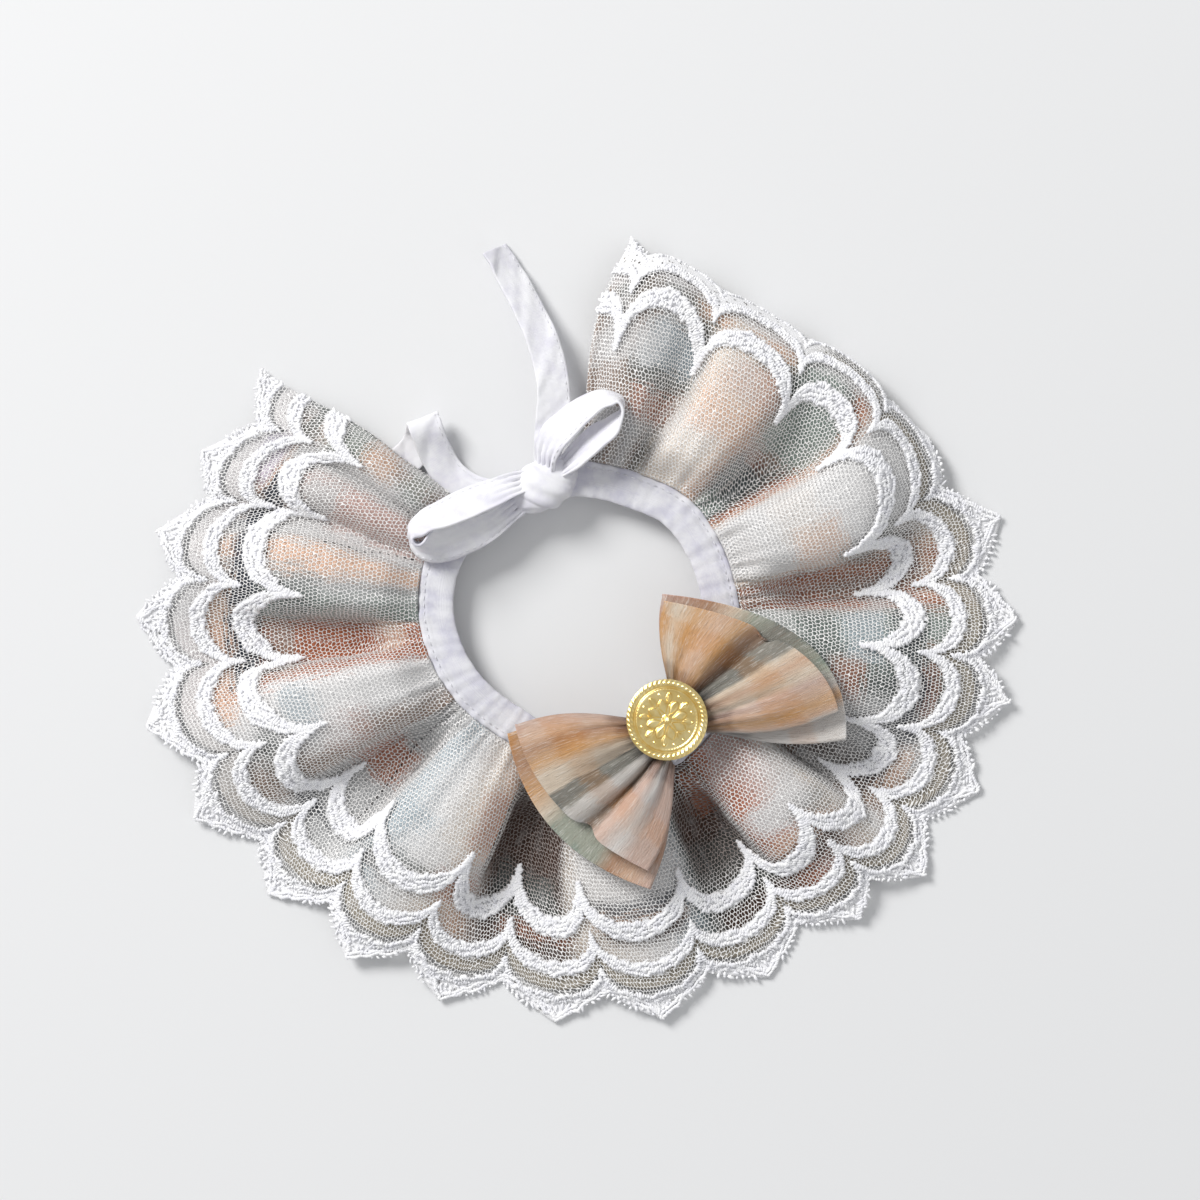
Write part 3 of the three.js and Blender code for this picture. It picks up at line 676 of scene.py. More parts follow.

# The plaid's stripes along the strip, from the right end: the repeat where each dye is at its strongest.
# The umber dye is partly the plaid's dark print and partly painted shade: its stripes at repeats 8.4, 10.4 to
# 11.1 and 12.95 to 13.85 darken the ruffle's hollows there.
PLAID_STRIPES = """
    0 taupe  0.4 silver  0.7 taupe  1 silver  1.25 taupe  1.42 slate  1.55 cream  2.1 cream  2.3 peach
    2.42 taupe  2.55 sage  2.95 sage  3.12 slate  3.25 rust  3.4 peach  3.5 white  4.5 white  4.85 cream
    5.02 peach  5.12 rust  5.35 taupe  5.75 rust  5.95 sage  6.5 sage  7 slate  7.4 silver  8 silver
    8.4 umber  8.7 taupe  8.85 white  9.1 cream  9.7 blush  10 rust  10.4 umber  11.1 umber  11.3 slate
    11.5 mist  11.75 white  12.6 cream  12.95 umber  13.85 umber  14 taupe  14.2 peach  14.6 cream
    15 white  15.5 mist
    15.85 white  16.05 silver  16.6 silver  16.85 taupe  17.05 taupe  17.4 silver  17.6 white  17.95 white
    18.05 rust  18.9 rust  19.02 sage  19.4 sage  19.7 silver  19.85 peach  19.95 peach  20.05 silver
    20.25 white  20.4 blush  20.95 blush  21.1 silver  21.22 white  21.42 white  21.6 taupe  22 silver
"""

# Patches across the strip: the repeat in their middle, half their length in repeats, how far down the cloth
# they lie, half their width, how strong they are and their dye.
# Painted shade: the umber patches at repeat 0.25 behind the tie loop, at 7.7 to 8.2 and at 13.45 lie in
# shaded hollows; those 55 mm down are the print's dark stripe by the outer row.
PLAID_PATCHES = """
    0.25 0.3 5 5 0.8 umber
    0.5 0.55 26 6 0.7 taupe
    0.9 0.5 14 4 0.8 silver
    1.15 0.3 22 5 0.6 rust
    1.05 0.35 32 5 0.8 slate
    1.15 0.35 39 6 0.9 mist
    0.5 0.5 38 5 0.7 white
    0.7 0.6 56 3.5 0.5 slate
    1.3 0.3 53 3 0.5 slate
    1.5 1.8 66 5 0.8 pale
    1.5 0.2 56 3 0.9 peach
    2.2 0.3 57 3 0.9 peach
    2.4 0.25 52 3 0.8 slate
    1.8 0.3 18 6 0.5 white
    2.1 0.35 27 6 0.7 peach
    2.2 0.3 42 6 0.4 blush
    1.8 0.25 36 5 0.3 peach
    1.95 0.35 12 6 0.5 cream
    2.75 0.3 15 8 0.6 night
    2.75 0.25 25 3 0.5 rust
    2.95 0.35 38 8 0.9 sage
    4.5 0.45 29 7 0.7 peach
    3.9 0.3 24 7 0.3 cream
    4.75 0.3 40 5 0.7 slate
    4 0.4 42 5 0.6 white
    4.2 0.5 12 6 0.6 white
    4.6 0.3 50 3 0.8 slate
    5 0.3 56 4 0.7 night
    5.3 0.4 59 2 0.7 peach
    5.35 0.35 20 6 0.5 rust
    5.6 0.3 43 4 0.6 silver
    6.2 0.35 10 6 0.5 white
    6.3 0.4 24 6 0.6 slate
    6.3 0.4 38 6 0.8 mist
    6.4 0.5 52 4 0.7 night
    7 0.3 33 5 0.6 rust
    6.9 0.5 60 2 0.6 rust
    7.2 0.5 55 4 0.8 night
    7.6 0.4 40 8 0.8 silver
    7.3 0.3 28 5 0.6 silver
    7.7 0.3 28 3 0.6 umber
    8.2 0.2 28 5 0.7 umber
    8.7 0.3 34 8 0.8 silver
    8.1 0.4 52 4 0.6 night
    8.2 0.4 58 3 0.7 peach
    9.4 0.5 6 7 0.9 blush
    9.7 0.4 16 7 0.8 blush
    9.2 0.3 24 6 0.6 white
    10 0.25 24 7 0.8 rust
    9.6 0.4 35 6 0.9 white
    9.35 0.25 42 4 0.5 slate
    9.75 0.35 48 3 0.8 peach
    9.85 0.5 55 4 0.85 umber
    10.5 0.2 12 8 0.7 rust
    10.9 0.45 38 8 0.6 slate
    10.9 0.5 52 4 0.8 slate
    12 0.6 33 11 0.75 white
    12 0.45 47 3 0.8 night
    12 0.45 51.5 2 0.8 peach
    12 0.4 55 2.5 0.9 umber
    13.45 0.55 24 14 0.95 umber
    13.4 0.4 42 5 0.9 slate
    13.3 0.5 51 3 0.8 slate
    13.2 0.4 56 2.5 0.6 rust
    14.35 0.2 24 10 0.5 rust
    14.2 0.2 44 5 0.7 silver
    15.3 0.3 38 5 0.9 mist
    14.9 0.3 42 5 0.8 white
    14.4 0.3 50 4 0.6 rust
    15.1 0.4 51 3 0.6 slate
    15.2 0.4 55 2.5 0.6 umber
    16.2 0.35 10 7 0.9 silver
    16.45 0.35 28 7 0.85 rust
    16.3 0.35 42 7 1 silver
    16.3 0.5 55 2 0.8 night
    17.05 0.3 20 8 0.8 taupe
    17.3 0.25 30 6 0.6 blush
    17.7 0.3 12 8 0.8 white
    17.6 0.4 36 7 0.7 white
    17.7 0.2 40 4 0.7 mist
    17.2 0.4 53 3 0.6 slate
    18.7 0.3 9 4 0.9 peach
    18.5 0.4 43 4 0.8 taupe
    19.4 0.35 20 5 0.35 silver
    19.4 0.35 38 6 0.5 slate
    20.6 0.35 41 6 0.85 silver
    21.7 0.35 14 4 0.6 sage
    21.75 0.3 30 6 0.85 peach
    21.75 0.3 43 6 0.8 sage
    19.6 1.5 54.5 5 1 night
    18.7 0.9 62 3 0.9 peach
    20.9 0.5 61 3 0.7 peach
    21.8 0.3 58 2.5 0.8 slate
"""


def dyed_stops(text, dyes):
    """Pairs of a place and a dye's colour, in the order of the text."""
    words = text.split()
    return [(float(place), dyes[dye]) for place, dye in zip(words[::2], words[1::2])]


RAMP_STEPS = 30  # in one colour ramp, which holds no more than 32 stops


def striped(finish, value, stops, span):
    """A colour that runs through the stops of a long ramp, whose places go from 0 to span."""
    share = (value / span).math("MULTIPLY", 1.0, clamp=True)
    colour = None
    for start in range(0, len(stops) - 1, RAMP_STEPS):
        part = [(place / span, dye) for place, dye in stops[start : start + RAMP_STEPS + 1]]
        painted = finish.ramp(share, part, "LINEAR")
        from_here = share.step(part[0][0] - 0.001, part[0][0] + 0.001)
        colour = painted if colour is None else finish.blend(from_here, colour, painted)
    return colour


def plaid_finish():
    """Brushed cotton with a loose, brushy plaid: broad stripes down the ruffle and short patches across, with
    painted shade in some hollows and a hem that fades to pale towards the left as painted light.
    """
    finish = Finish("plaid cotton", roughness=0.92, sheen_weight=0.12, sheen_roughness=0.6)
    u, v = finish.map("strip")
    drift = finish.noise((u * 0.03, v * 0.03), 1.0, 2.0) - 0.5
    frayed_down = finish.noise((u * 1.5, v * 0.14), 1.0, 3.0, 0.7) - 0.5
    frayed_across = finish.noise((u * 0.14, v * 1.5, 7.0), 1.0, 3.0, 0.7) - 0.5
    repeat = (u + drift * 9.0 + frayed_down * 18.0) / REPEAT_WIDTH
    depth = v + drift * 9.0 + frayed_across * 20.0
    plaid = striped(finish, repeat, dyed_stops(PLAID_STRIPES, DYES), REPEATS)
    for row in PLAID_PATCHES.strip().splitlines():
        *numbers, dye = row.split()
        place, half_length, down, half_width, strength = map(float, numbers)
        patch = repeat.near(place, half_length - 0.1, 0.22) * depth.near(down, half_width - 1.5, 4.0)
        plaid = finish.blend(patch * strength, plaid, DYES[dye])
    beyond = v - scalloped(OUTER_ROW, scallop_value(u))
    # Painted light: towards the left, where the light is stronger, the hem beyond the print fades from khaki
    # to pale.
    painted_light_to_left = (u / REPEAT_WIDTH).step(15.5, 18.5)
    unprinted = beyond.step(0.5, 2.5) * 0.95
    plaid = finish.blend(unprinted, plaid, finish.blend(painted_light_to_left, DYES["khaki"], DYES["pale"]))
    washed = finish.noise((u * 0.3, v * 0.06), 1.0, 5.0, 0.7)
    plaid = finish.blend(washed.step(0.5, 0.72) * 0.35, plaid, DYES["white"])
    lilac = (u / REPEAT_WIDTH).near(21.1, 0.2, 0.3) * v.near(64.0, 3.0, 3.0)
    plaid = finish.blend(lilac * 0.8, plaid, DYES["lilac"])
    finish.set("Base Color", plaid)
    crinkles = finish.noise((u * 0.75, v * 0.22), 1.0, 3.0, 0.6)
    finish.bump(weave(u, v, 0.55) * 0.4 + washed * 0.5 + crinkles, 0.8, 0.45)
    return finish.material


def weave(u, v, pitch):
    """Height of plain-woven threads of a given pitch."""
    turn = 2 * math.pi / pitch
    return ((u * turn).sine() * (v * turn).sine()) * 0.5 + 0.5


def scallop_value(u):
    """The scallop of one lace repeat, 1 at a tip and 0 at a notch."""
    side = abs((u / REPEAT_WIDTH + 0.5).wrapped(1.0) - 0.5) * 2.0
    return (1.0 - side * side).most(0.0).root()


def net_finish():
    """White net with hexagonal holes, closed where the embroidery's ground is, with painted shade on its
    threads in the ruffle's hollows.
    """
    finish = Finish("white net", roughness=0.9, sheen_weight=0.2)
    x, y = finish.map("net")
    stretched = finish.noise((x, y), 0.3, 2.0, 0.6) - 0.5
    x, y = x + stretched * 2.0, y * 0.85 - stretched * 1.4
    pitch, thread = 1.2, 0.1
    row = pitch * math.sqrt(3)

    def cell(dx, dy):
        a = abs((x + dx).wrapped(pitch) - pitch / 2)
        b = abs((y + dy).wrapped(row) - row / 2)
        return a.most(a * 0.5 + b * (math.sqrt(3) / 2)), a * a + b * b

    first, first_far = cell(0.0, 0.0)
    second, second_far = cell(pitch / 2, row / 2)
    nearer = (first_far - second_far).step(-0.001, 0.001)
    to_middle = first * (1.0 - nearer) + second * nearer
    threads = to_middle.step(pitch / 2 - thread - 0.04, pitch / 2 - thread + 0.04)
    u, v = finish.map("strip")
    edge = (finish.noise((u, v), 0.55, 4.0, 0.75) - 0.5) * 7.0
    curve = scallop_value(u)
    ground = abs(v - scalloped(INNER_ROW, curve) + edge).step(4.0, 2.8)
    ground = ground.most(abs(v - scalloped(OUTER_ROW, curve) + edge).step(3.0, 2.0))
    from_border = v - scalloped(BORDER_ROW, curve) + edge * 0.6
    cells = {"Vector": finish.vector(u, v), "Scale": 0.34, "Randomness": 0.9}
    eyelets = finish.node("ShaderNodeTexVoronoi", {}, cells)
    holes = Value(finish, eyelets.outputs[0]).step(0.2, 0.28) * 0.92
    past_outer = (OUTER_ROW[0] + 2.0, OUTER_ROW[1])
    hanging = (u / REPEAT_WIDTH).step(3.0, 2.3) * (v - scalloped(past_outer, curve) + edge).step(0.0, 1.5)
    ground = ground.most(from_border.step(0.0, 1.2).most(hanging) * holes)
    finish.set("Alpha", threads.most(ground))
    # Painted shade: threads that lie low in the ruffle's hollows turn dark brown, most in the hollows near
    # repeats 10.85 and 13.45.
    height = finish.place()[2]
    repeat = u / REPEAT_WIDTH
    shaded = repeat.near(10.85, 0.35, 0.35).most(repeat.near(13.45, 0.5, 0.3)) * 0.7 + 0.15
    painted_hollow_shade = height.step(10.0, 3.0) * v.step(50.0, 38.0) * shaded
    thread_colour = finish.blend(painted_hollow_shade, (0.94, 0.93, 0.92), (0.20, 0.15, 0.13))
    finish.set("Base Color", finish.blend(ground, thread_colour, (0.92, 0.92, 0.94)))
    finish.bump(threads + ground * 0.6, 0.6, 0.15)
    return finish.material


def embroidery_finish():
    """Matt white cotton floss, each stitch a little different."""
    finish = Finish("white floss", roughness=0.8, sheen_weight=0.35, sheen_roughness=0.4)
    x, y, z = finish.place()
    tone = finish.noise((x, y, z), 0.35, 3.0, 0.6)
    finish.set("Base Color", finish.ramp(tone, [(0.3, (0.86, 0.86, 0.90)), (0.7, (0.95, 0.95, 0.96))]))
    fibres = finish.noise((x, y, z), 9.0, 2.0, 0.6)
    finish.bump(fibres, 0.35, 0.12)
    return finish.material


def tape_finish(name, shaded, lit):
    """White cotton bias tape: a fine diagonal weave with painted lilac shade in soft patches; shaded and lit
    are the colours of its painted shade and painted light.
    """
    finish = Finish(name, roughness=0.85, sheen_weight=0.2, sheen_roughness=0.5)
    u, v = finish.map("strip")
    x, y, z = finish.place()
    cloud = finish.noise((x, y, z), 0.12, 4.0, 0.6)
    finish.set("Base Color", finish.ramp(cloud, [(0.3, shaded), (0.62, lit)]))
    wrinkles = finish.noise((u * 0.35, v * 0.12), 1.0, 4.0, 0.6)
    finish.bump(weave(u + v, u - v, 0.7) * 0.35 + wrinkles, 0.6, 0.35)
    return finish.material


def thread_finish(name, colour):
    finish = Finish(name, roughness=0.7)
    x, y, z = finish.place()
    tone = finish.noise((x, y, z), 0.8, 2.0)
    darker = tuple(0.72 * part for part in colour)
    finish.set("Base Color", finish.ramp(tone, [(0.35, darker), (0.65, colour)]))
    return finish.material


BOW_DYES = {
    "ochre": (0.64, 0.33, 0.12),
    "peach": (0.66, 0.40, 0.26),
    "blush": (0.60, 0.41, 0.35),
    "cream": (0.72, 0.60, 0.47),
    "rust": (0.36, 0.15, 0.06),
    "slate": (0.08, 0.105, 0.105),
    "sage": (0.24, 0.31, 0.26),
    "silver": (0.50, 0.50, 0.50),
    "umber": (0.10, 0.05, 0.03),
    "white": (0.80, 0.78, 0.77),
}

# Stripes of each loop's cloth, from its bottom edge at 0 to its top edge at 1.
# Painted shade: the umber stops at 0.58 on the right front loop and 0.315 to 0.345 on the left front loop lie
# in their deep creases.
BOW_STRIPES = {
    "bow_front_right": """
        0 silver  0.04 peach  0.1 ochre  0.16 peach  0.24 blush  0.3 cream  0.38 peach  0.45 cream
        0.475 slate  0.56 slate  0.58 umber  0.64 rust  0.7 ochre  0.78 peach  0.88 ochre  0.95 cream
        1 ochre
    """,
    "bow_front_left": """
        0 blush  0.1 blush  0.18 white  0.26 blush  0.29 blush  0.315 umber  0.345 umber  0.37 silver
        0.46 silver  0.48 slate  0.57 slate  0.59 cream  0.68 cream  0.75 ochre  0.84 rust  0.9 peach
        1 blush
    """,
    "bow_back_right": """
        0 white  0.14 white  0.2 ochre  0.26 silver  0.34 sage  0.6 slate  0.7 sage  0.78 cream  0.86 rust
        1 blush
    """,
    "bow_back_left": """
        0 blush  0.1 peach  0.2 rust  0.28 sage  0.52 sage  0.6 cream  0.7 ochre  0.85 rust  1 ochre
    """,
}

# Patches across each loop: how far from its outer fold, half their width, how strong they are and their dye.
BOW_PATCHES = ((5, 3, 0.25, "cream"), (14, 3, 0.3, "ochre"), (24, 3, 0.2, "cream"), (35, 5, 0.4, "umber"))


def bow_finish(name):
    """Satin-faced plaid: ochre, peach and blush with slate stripes, long brushed floats with painted sheen,
    and painted shade in the deep creases.
    """
    finish = Finish("satin plaid " + name, sheen_weight=0.12)
    u, v = finish.map("strip")
    floats = finish.noise((u * 0.16, v * 1.3), 1.0, 5.0, 0.7)
    fine = finish.noise((u * 0.2, v * 2.2), 1.0, 4.0, 0.7)
    brush = finish.noise((u * 0.07, v * 0.09), 1.0, 3.0) - 0.5
    across = v + brush * 3.0 + (floats - 0.5) * 3.5
    out = u + brush * 14.0 + (floats - 0.5) * 9.0
    stops = [(LOOP_SPREAD * place, dye) for place, dye in dyed_stops(BOW_STRIPES[name], BOW_DYES)]
    plaid = striped(finish, across, stops, LOOP_SPREAD)
    for place, half_width, strength, dye in BOW_PATCHES:
        plaid = finish.blend(out.near(place, half_width, 3.5) * strength, plaid, BOW_DYES[dye])
    # Pale streaks along the floats: partly the satin's lighter floats and partly painted sheen.
    plaid = finish.blend(floats.step(0.56, 0.7) * 0.25, plaid, (0.82, 0.78, 0.74))
    plaid = finish.blend(fine.step(0.52, 0.66) * 0.4, plaid, (0.90, 0.86, 0.82))
    plaid = finish.blend(fine.step(0.46, 0.32) * 0.4, plaid, (0.24, 0.14, 0.09))
    finish.set("Base Color", plaid)
    finish.set("Roughness", floats.step(0.2, 0.8) * 0.3 + 0.5)
    finish.bump(floats + fine + weave(u, v, 0.6) * 0.3, 1.0, 0.45)
    return finish.material


def gilt_finish():
    """Pale gilt brass, polished and a little uneven."""
    finish = Finish("pale gilt", metallic=1.0)
    x, y, z = finish.place()
    cloud = finish.noise((x, y, z), 0.25, 3.0, 0.6)
    finish.set("Base Color", finish.ramp(cloud, [(0.35, (0.90, 0.66, 0.24)), (0.65, (1.0, 0.82, 0.40))]))
    grain = finish.noise((x, y, z), 3.0, 4.0, 0.7)
    finish.set("Roughness", grain * 0.2 + 0.22)
    finish.bump(grain, 0.25, 0.05)
    return finish.material


# ---- Threads laid by geometry nodes -------------------------------------------------------------------
def stitch_tree():
    """Stitches side by side along a path, lying on the surface that the path's points face out of."""
    tree = bpy.data.node_groups.new("stitches along a path", "GeometryNodeTree")
    for title, kind in (
        ("Path", "NodeSocketGeometry"),
        ("Spacing", "NodeSocketFloat"),
        ("Length", "NodeSocketFloat"),
        ("Thickness", "NodeSocketFloat"),
        ("Raggedness", "NodeSocketFloat"),
        ("Slant", "NodeSocketFloat"),
        ("Seed", "NodeSocketInt"),
        ("Thread", "NodeSocketMaterial"),
    ):
        tree.interface.new_socket(title, in_out="INPUT", socket_type=kind)
    tree.interface.new_socket("Stitches", in_out="OUTPUT", socket_type="NodeSocketGeometry")

    def node(kind, settings, inputs):
        return add_node(tree, kind, settings, inputs)

    def maths(operation, first, second):
        return node("ShaderNodeMath", {"operation": operation}, {0: first, 1: second}).outputs[0]

    def product(first, second):
        return maths("MULTIPLY", first, second)

    given = node("NodeGroupInput", {}, {}).outputs
    ragged, thickness = given["Raggedness"], given["Thickness"]
    curve = node("GeometryNodeMeshToCurve", {}, {"Mesh": given["Path"]}).outputs[0]
    spaced = {"Curve": curve, "Length": given["Spacing"]}
    points = node("GeometryNodeResampleCurve", {"mode": "LENGTH"}, spaced).outputs[0]
    named = node("GeometryNodeInputNamedAttribute", {"data_type": "FLOAT_VECTOR"}, {"Name": "facing"})
    tangent = node("GeometryNodeInputTangent", {}, {}).outputs[0]
    align = "FunctionNodeAlignRotationToVector"
    upright = node(align, {"axis": "Z"}, {"Vector": named.outputs[0]}).outputs[0]
    ahead = {"Rotation": upright, "Vector": tangent}
    laid = node(align, {"axis": "X", "pivot_axis": "Z"}, ahead).outputs[0]

    def random(low, high, seed_step):
        seed = maths("ADD", given["Seed"], seed_step)
        made = node("FunctionNodeRandomValue", {"data_type": "FLOAT"}, {2: low, 3: high, 8: seed})
        return made.outputs[1]

    yaw = maths("ADD", given["Slant"], product(ragged, random(-1.3, 1.3, 1)))
    angles = node("ShaderNodeCombineXYZ", {}, {2: yaw}).outputs[0]
    turn = node("FunctionNodeEulerToRotation", {}, {0: angles}).outputs[0]
    rotation = node("FunctionNodeRotateRotation", {"rotation_space": "LOCAL"}, {0: laid, 1: turn}).outputs[0]
    length = product(given["Length"], maths("ADD", 1.0, product(ragged, random(-1.0, 0.4, 2))))
    girth = product(thickness, maths("ADD", 1.0, product(ragged, random(-0.35, 0.35, 4))))
    size = node("ShaderNodeCombineXYZ", {}, {0: girth, 1: length, 2: girth}).outputs[0]
    thread = node("GeometryNodeMeshUVSphere", {}, {"Segments": 5, "Rings": 4, "Radius": 0.5}).outputs[0]
    each = {"Points": points, "Instance": thread, "Rotation": rotation, "Scale": size}
    stitches = node("GeometryNodeInstanceOnPoints", {}, each).outputs[0]
    sideways = product(product(given["Length"], ragged), random(-0.55, 0.55, 3))
    upwards = product(product(thickness, ragged), random(-0.25, 0.35, 5))
    move = node("ShaderNodeCombineXYZ", {}, {1: sideways, 2: upwards}).outputs[0]
    shifted = {"Instances": stitches, "Translation": move}
    moved = node("GeometryNodeTranslateInstances", {}, shifted).outputs[0]
    real = node("GeometryNodeRealizeInstances", {}, {"Geometry": moved}).outputs[0]
    smooth = node("GeometryNodeSetShadeSmooth", {}, {0: real}).outputs[0]
    threaded = {"Geometry": smooth, "Material": given["Thread"]}
    finished = node("GeometryNodeSetMaterial", {}, threaded).outputs[0]
    node("NodeGroupOutput", {}, {0: finished})
    return tree


STITCHES = stitch_tree()


def stitched(name, runs, spacing, length, thickness, ragged, slant, seed, thread):
    """A plain mesh of stitches laid along runs of points."""
    piece = polyline(name, runs)
    modifier = piece.modifiers.new("stitches", "NODES")
    modifier.node_group = STITCHES
    values = {
        "Spacing": spacing * MM,
        "Length": length * MM,
        "Thickness": thickness * MM,
        "Raggedness": ragged,
        "Slant": slant,
        "Seed": seed,
        "Thread": thread,
    }
    for item in STITCHES.interface.items_tree:
        if item.in_out == "INPUT" and item.name in values:
            modifier[item.identifier] = values[item.name]
    evaluated = piece.evaluated_get(bpy.context.evaluated_depsgraph_get())
    mesh = bpy.data.meshes.new_from_object(evaluated)
    piece.modifiers.clear()
    piece.data = mesh
    return piece


def dress(piece, material, slot, *nodes):
    """The piece gets its finish, rides on the collar's one body and stands for the nodes named."""
    if material:
        piece.data.materials.clear()
        piece.data.materials.append(material)
    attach(piece, "root")
    if nodes:
        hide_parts(*nodes)
    return piece


# ---- The two ruffles ----------------------------------------------------------------------------------
def ruffle_sheet(name, depth_of_row, rows, columns_per_repeat, lift, thick):
    """A thin sheet over the ruffle's form, with its strip and net coordinates in millimetres."""
    columns = REPEATS * columns_per_repeat + 1
    repeat = np.linspace(0, REPEATS, columns)[:, None] * np.ones(rows)
    depth = depth_of_row(repeat, np.linspace(0, 1, rows)[None, :])
    grid, _ = ruffle_points(repeat, depth, lift(repeat, depth))
    facing = surface_normals(grid)
    crests = FOLDS["repeat"][1::2]
    nearest = np.abs(np.linspace(0, REPEATS, columns)[:, None] - crests).argmin(axis=1)
    crest_column = np.round(crests[nearest] * columns_per_repeat).astype(int)
    side, down = run_lengths(grid, 0), run_lengths(grid, 1)

    def strip(i, j, _):
        return repeat[i, j] * REPEAT_WIDTH, depth[i, j]

    def net(i, j, quad_column):
        return side[i, j] - side[crest_column[quad_column], j], down[i, j]

    return cloth_sheet(name, grid, facing, thick, {"strip": strip, "net": net})


def cloth_ruffle():
    def depth(repeat, share):
        return share * (border_line(repeat) - CLOTH_INSET)

    piece = ruffle_sheet("cloth_ruffle_plaid", depth, 64, 22, lambda s, d: CLOTH_LIFT + 0 * s, 0.45)
    dress(piece, plaid_finish(), "plaid_cotton", "cloth_ruffle")


def lace_net():
    def depth(repeat, share):
        return share * edge_line(repeat)

    piece = ruffle_sheet("lace_ruffle_net", depth, 68, 26, lace_lift, 0.12)
    return dress(piece, net_finish(), "net_lace", "lace_ruffle")


PATH_STEPS = 40  # in each repeat
FLOSS_LIFT = 0.3  # of the stitches' line over the net


def lace_path(depth_of):
    """A run of points on the net, for stitches to be laid along."""
    repeat = np.linspace(0.0, REPEATS, REPEATS * PATH_STEPS + 1)
    depth = np.minimum(depth_of(repeat), edge_line(repeat) + 0.6)
    return ruffle_points(repeat, depth, lace_lift(repeat, depth) + FLOSS_LIFT)


def net_margin(repeat):
    """The net shows outside the border's cord on the clockwise side of each point."""
    side = repeat - np.round(repeat)
    return np.where(side > 0, 2.2 * np.sin(2 * np.pi * np.clip(side, 0, 0.5)) ** 0.5, 0.0)


def swelling(repeat):
    """How the rows widen and narrow along their length."""
    return 1 + waves(repeat * REPEAT_WIDTH, [(13.3, 0.14, 0.3), (7.1, 0.12, 2.0), (31.0, 0.08, 1.1)])


def wander(repeat, phase):
    """How far a line of stitches strays from its row."""
    strays = [(4.7, 0.35, phase), (9.1, 0.3, 2.3 * phase), (2.9, 0.2, 0.7 * phase)]
    return waves(repeat * REPEAT_WIDTH, strays)


def inner_line(repeat):
    return scalloped(INNER_ROW, scallop(repeat))


def outer_line(repeat):
    return scalloped(OUTER_ROW, scallop(repeat))


def cord_line(repeat):
    return edge_line(repeat) - 1.2 - net_margin(repeat)


# The embroidered rows: their line down the cloth and how far beside it each line of stitches runs, the
# stitches' spacing, length and thickness, how ragged and slanted they are, and the seed of their unevenness.
EMBROIDERY = {
    "scallop_row_inner": (inner_line, (-2.4, -0.8, 0.8, 2.4), 0.8, 2.7, 1.15, 0.7, 0.0, 11),
    "scallop_row_outer": (outer_line, (-1.5, 0.0, 1.5), 0.8, 2.4, 1.05, 0.7, 0.0, 13),
    "border_row": (border_line, (0.8, 2.4), 0.82, 2.5, 1.0, 0.75, 0.0, 14),
    "border_fill": (border_line, (4.4, 6.4), 1.9, 2.4, 0.95, 0.8, 0.3, 15),
    "border_cord": (cord_line, (-0.9, 0.5), 0.8, 2.3, 1.05, 0.4, 1.15, 16),
}


def embroidery(floss):
    """The embroidered rows of the lace: lines of short, loose stitches side by side."""
    pieces = []
    for name, (depth, beside, *stitch, seed) in EMBROIDERY.items():
        runs = []
        for line in beside:
            runs.append(lace_path(lambda s: depth(s) + line * swelling(s) + wander(s, seed + line)))
        pieces.append(dress(stitched(name, runs, *stitch, seed, floss), None, "net_lace"))
    return pieces


# Seams in the plaid's dark thread: places along the lace and down the cloth.
RUFFLE_SEAMS = {
    "ruffle_seam_front": ((16.42, 3), (16.3, 18), (16.15, 34), (16.02, 50)),
    "ruffle_seam_left": ((20.3, 4), (20.18, 18), (20.05, 32)),
}


def ruffle_seams(dark_thread):
    for name, places in RUFFLE_SEAMS.items():
        corners = np.array(places, float)
        t = np.linspace(0, len(corners) - 1, 60)
        repeat, depth = (np.interp(t, np.arange(len(corners)), corners[:, k]) for k in range(2))
        run = ruffle_points(repeat, depth, CLOTH_LIFT + 0.45 + 0 * t)
        seam = stitched(name, [run], 2.4, 1.7, 0.5, 0.1, math.pi / 2, 51, dark_thread)
        dress(seam, None, "plaid_cotton")


# ---- The neck tape ------------------------------------------------------------------------------------
TAPE_ENDS = (94.0, -249.0)


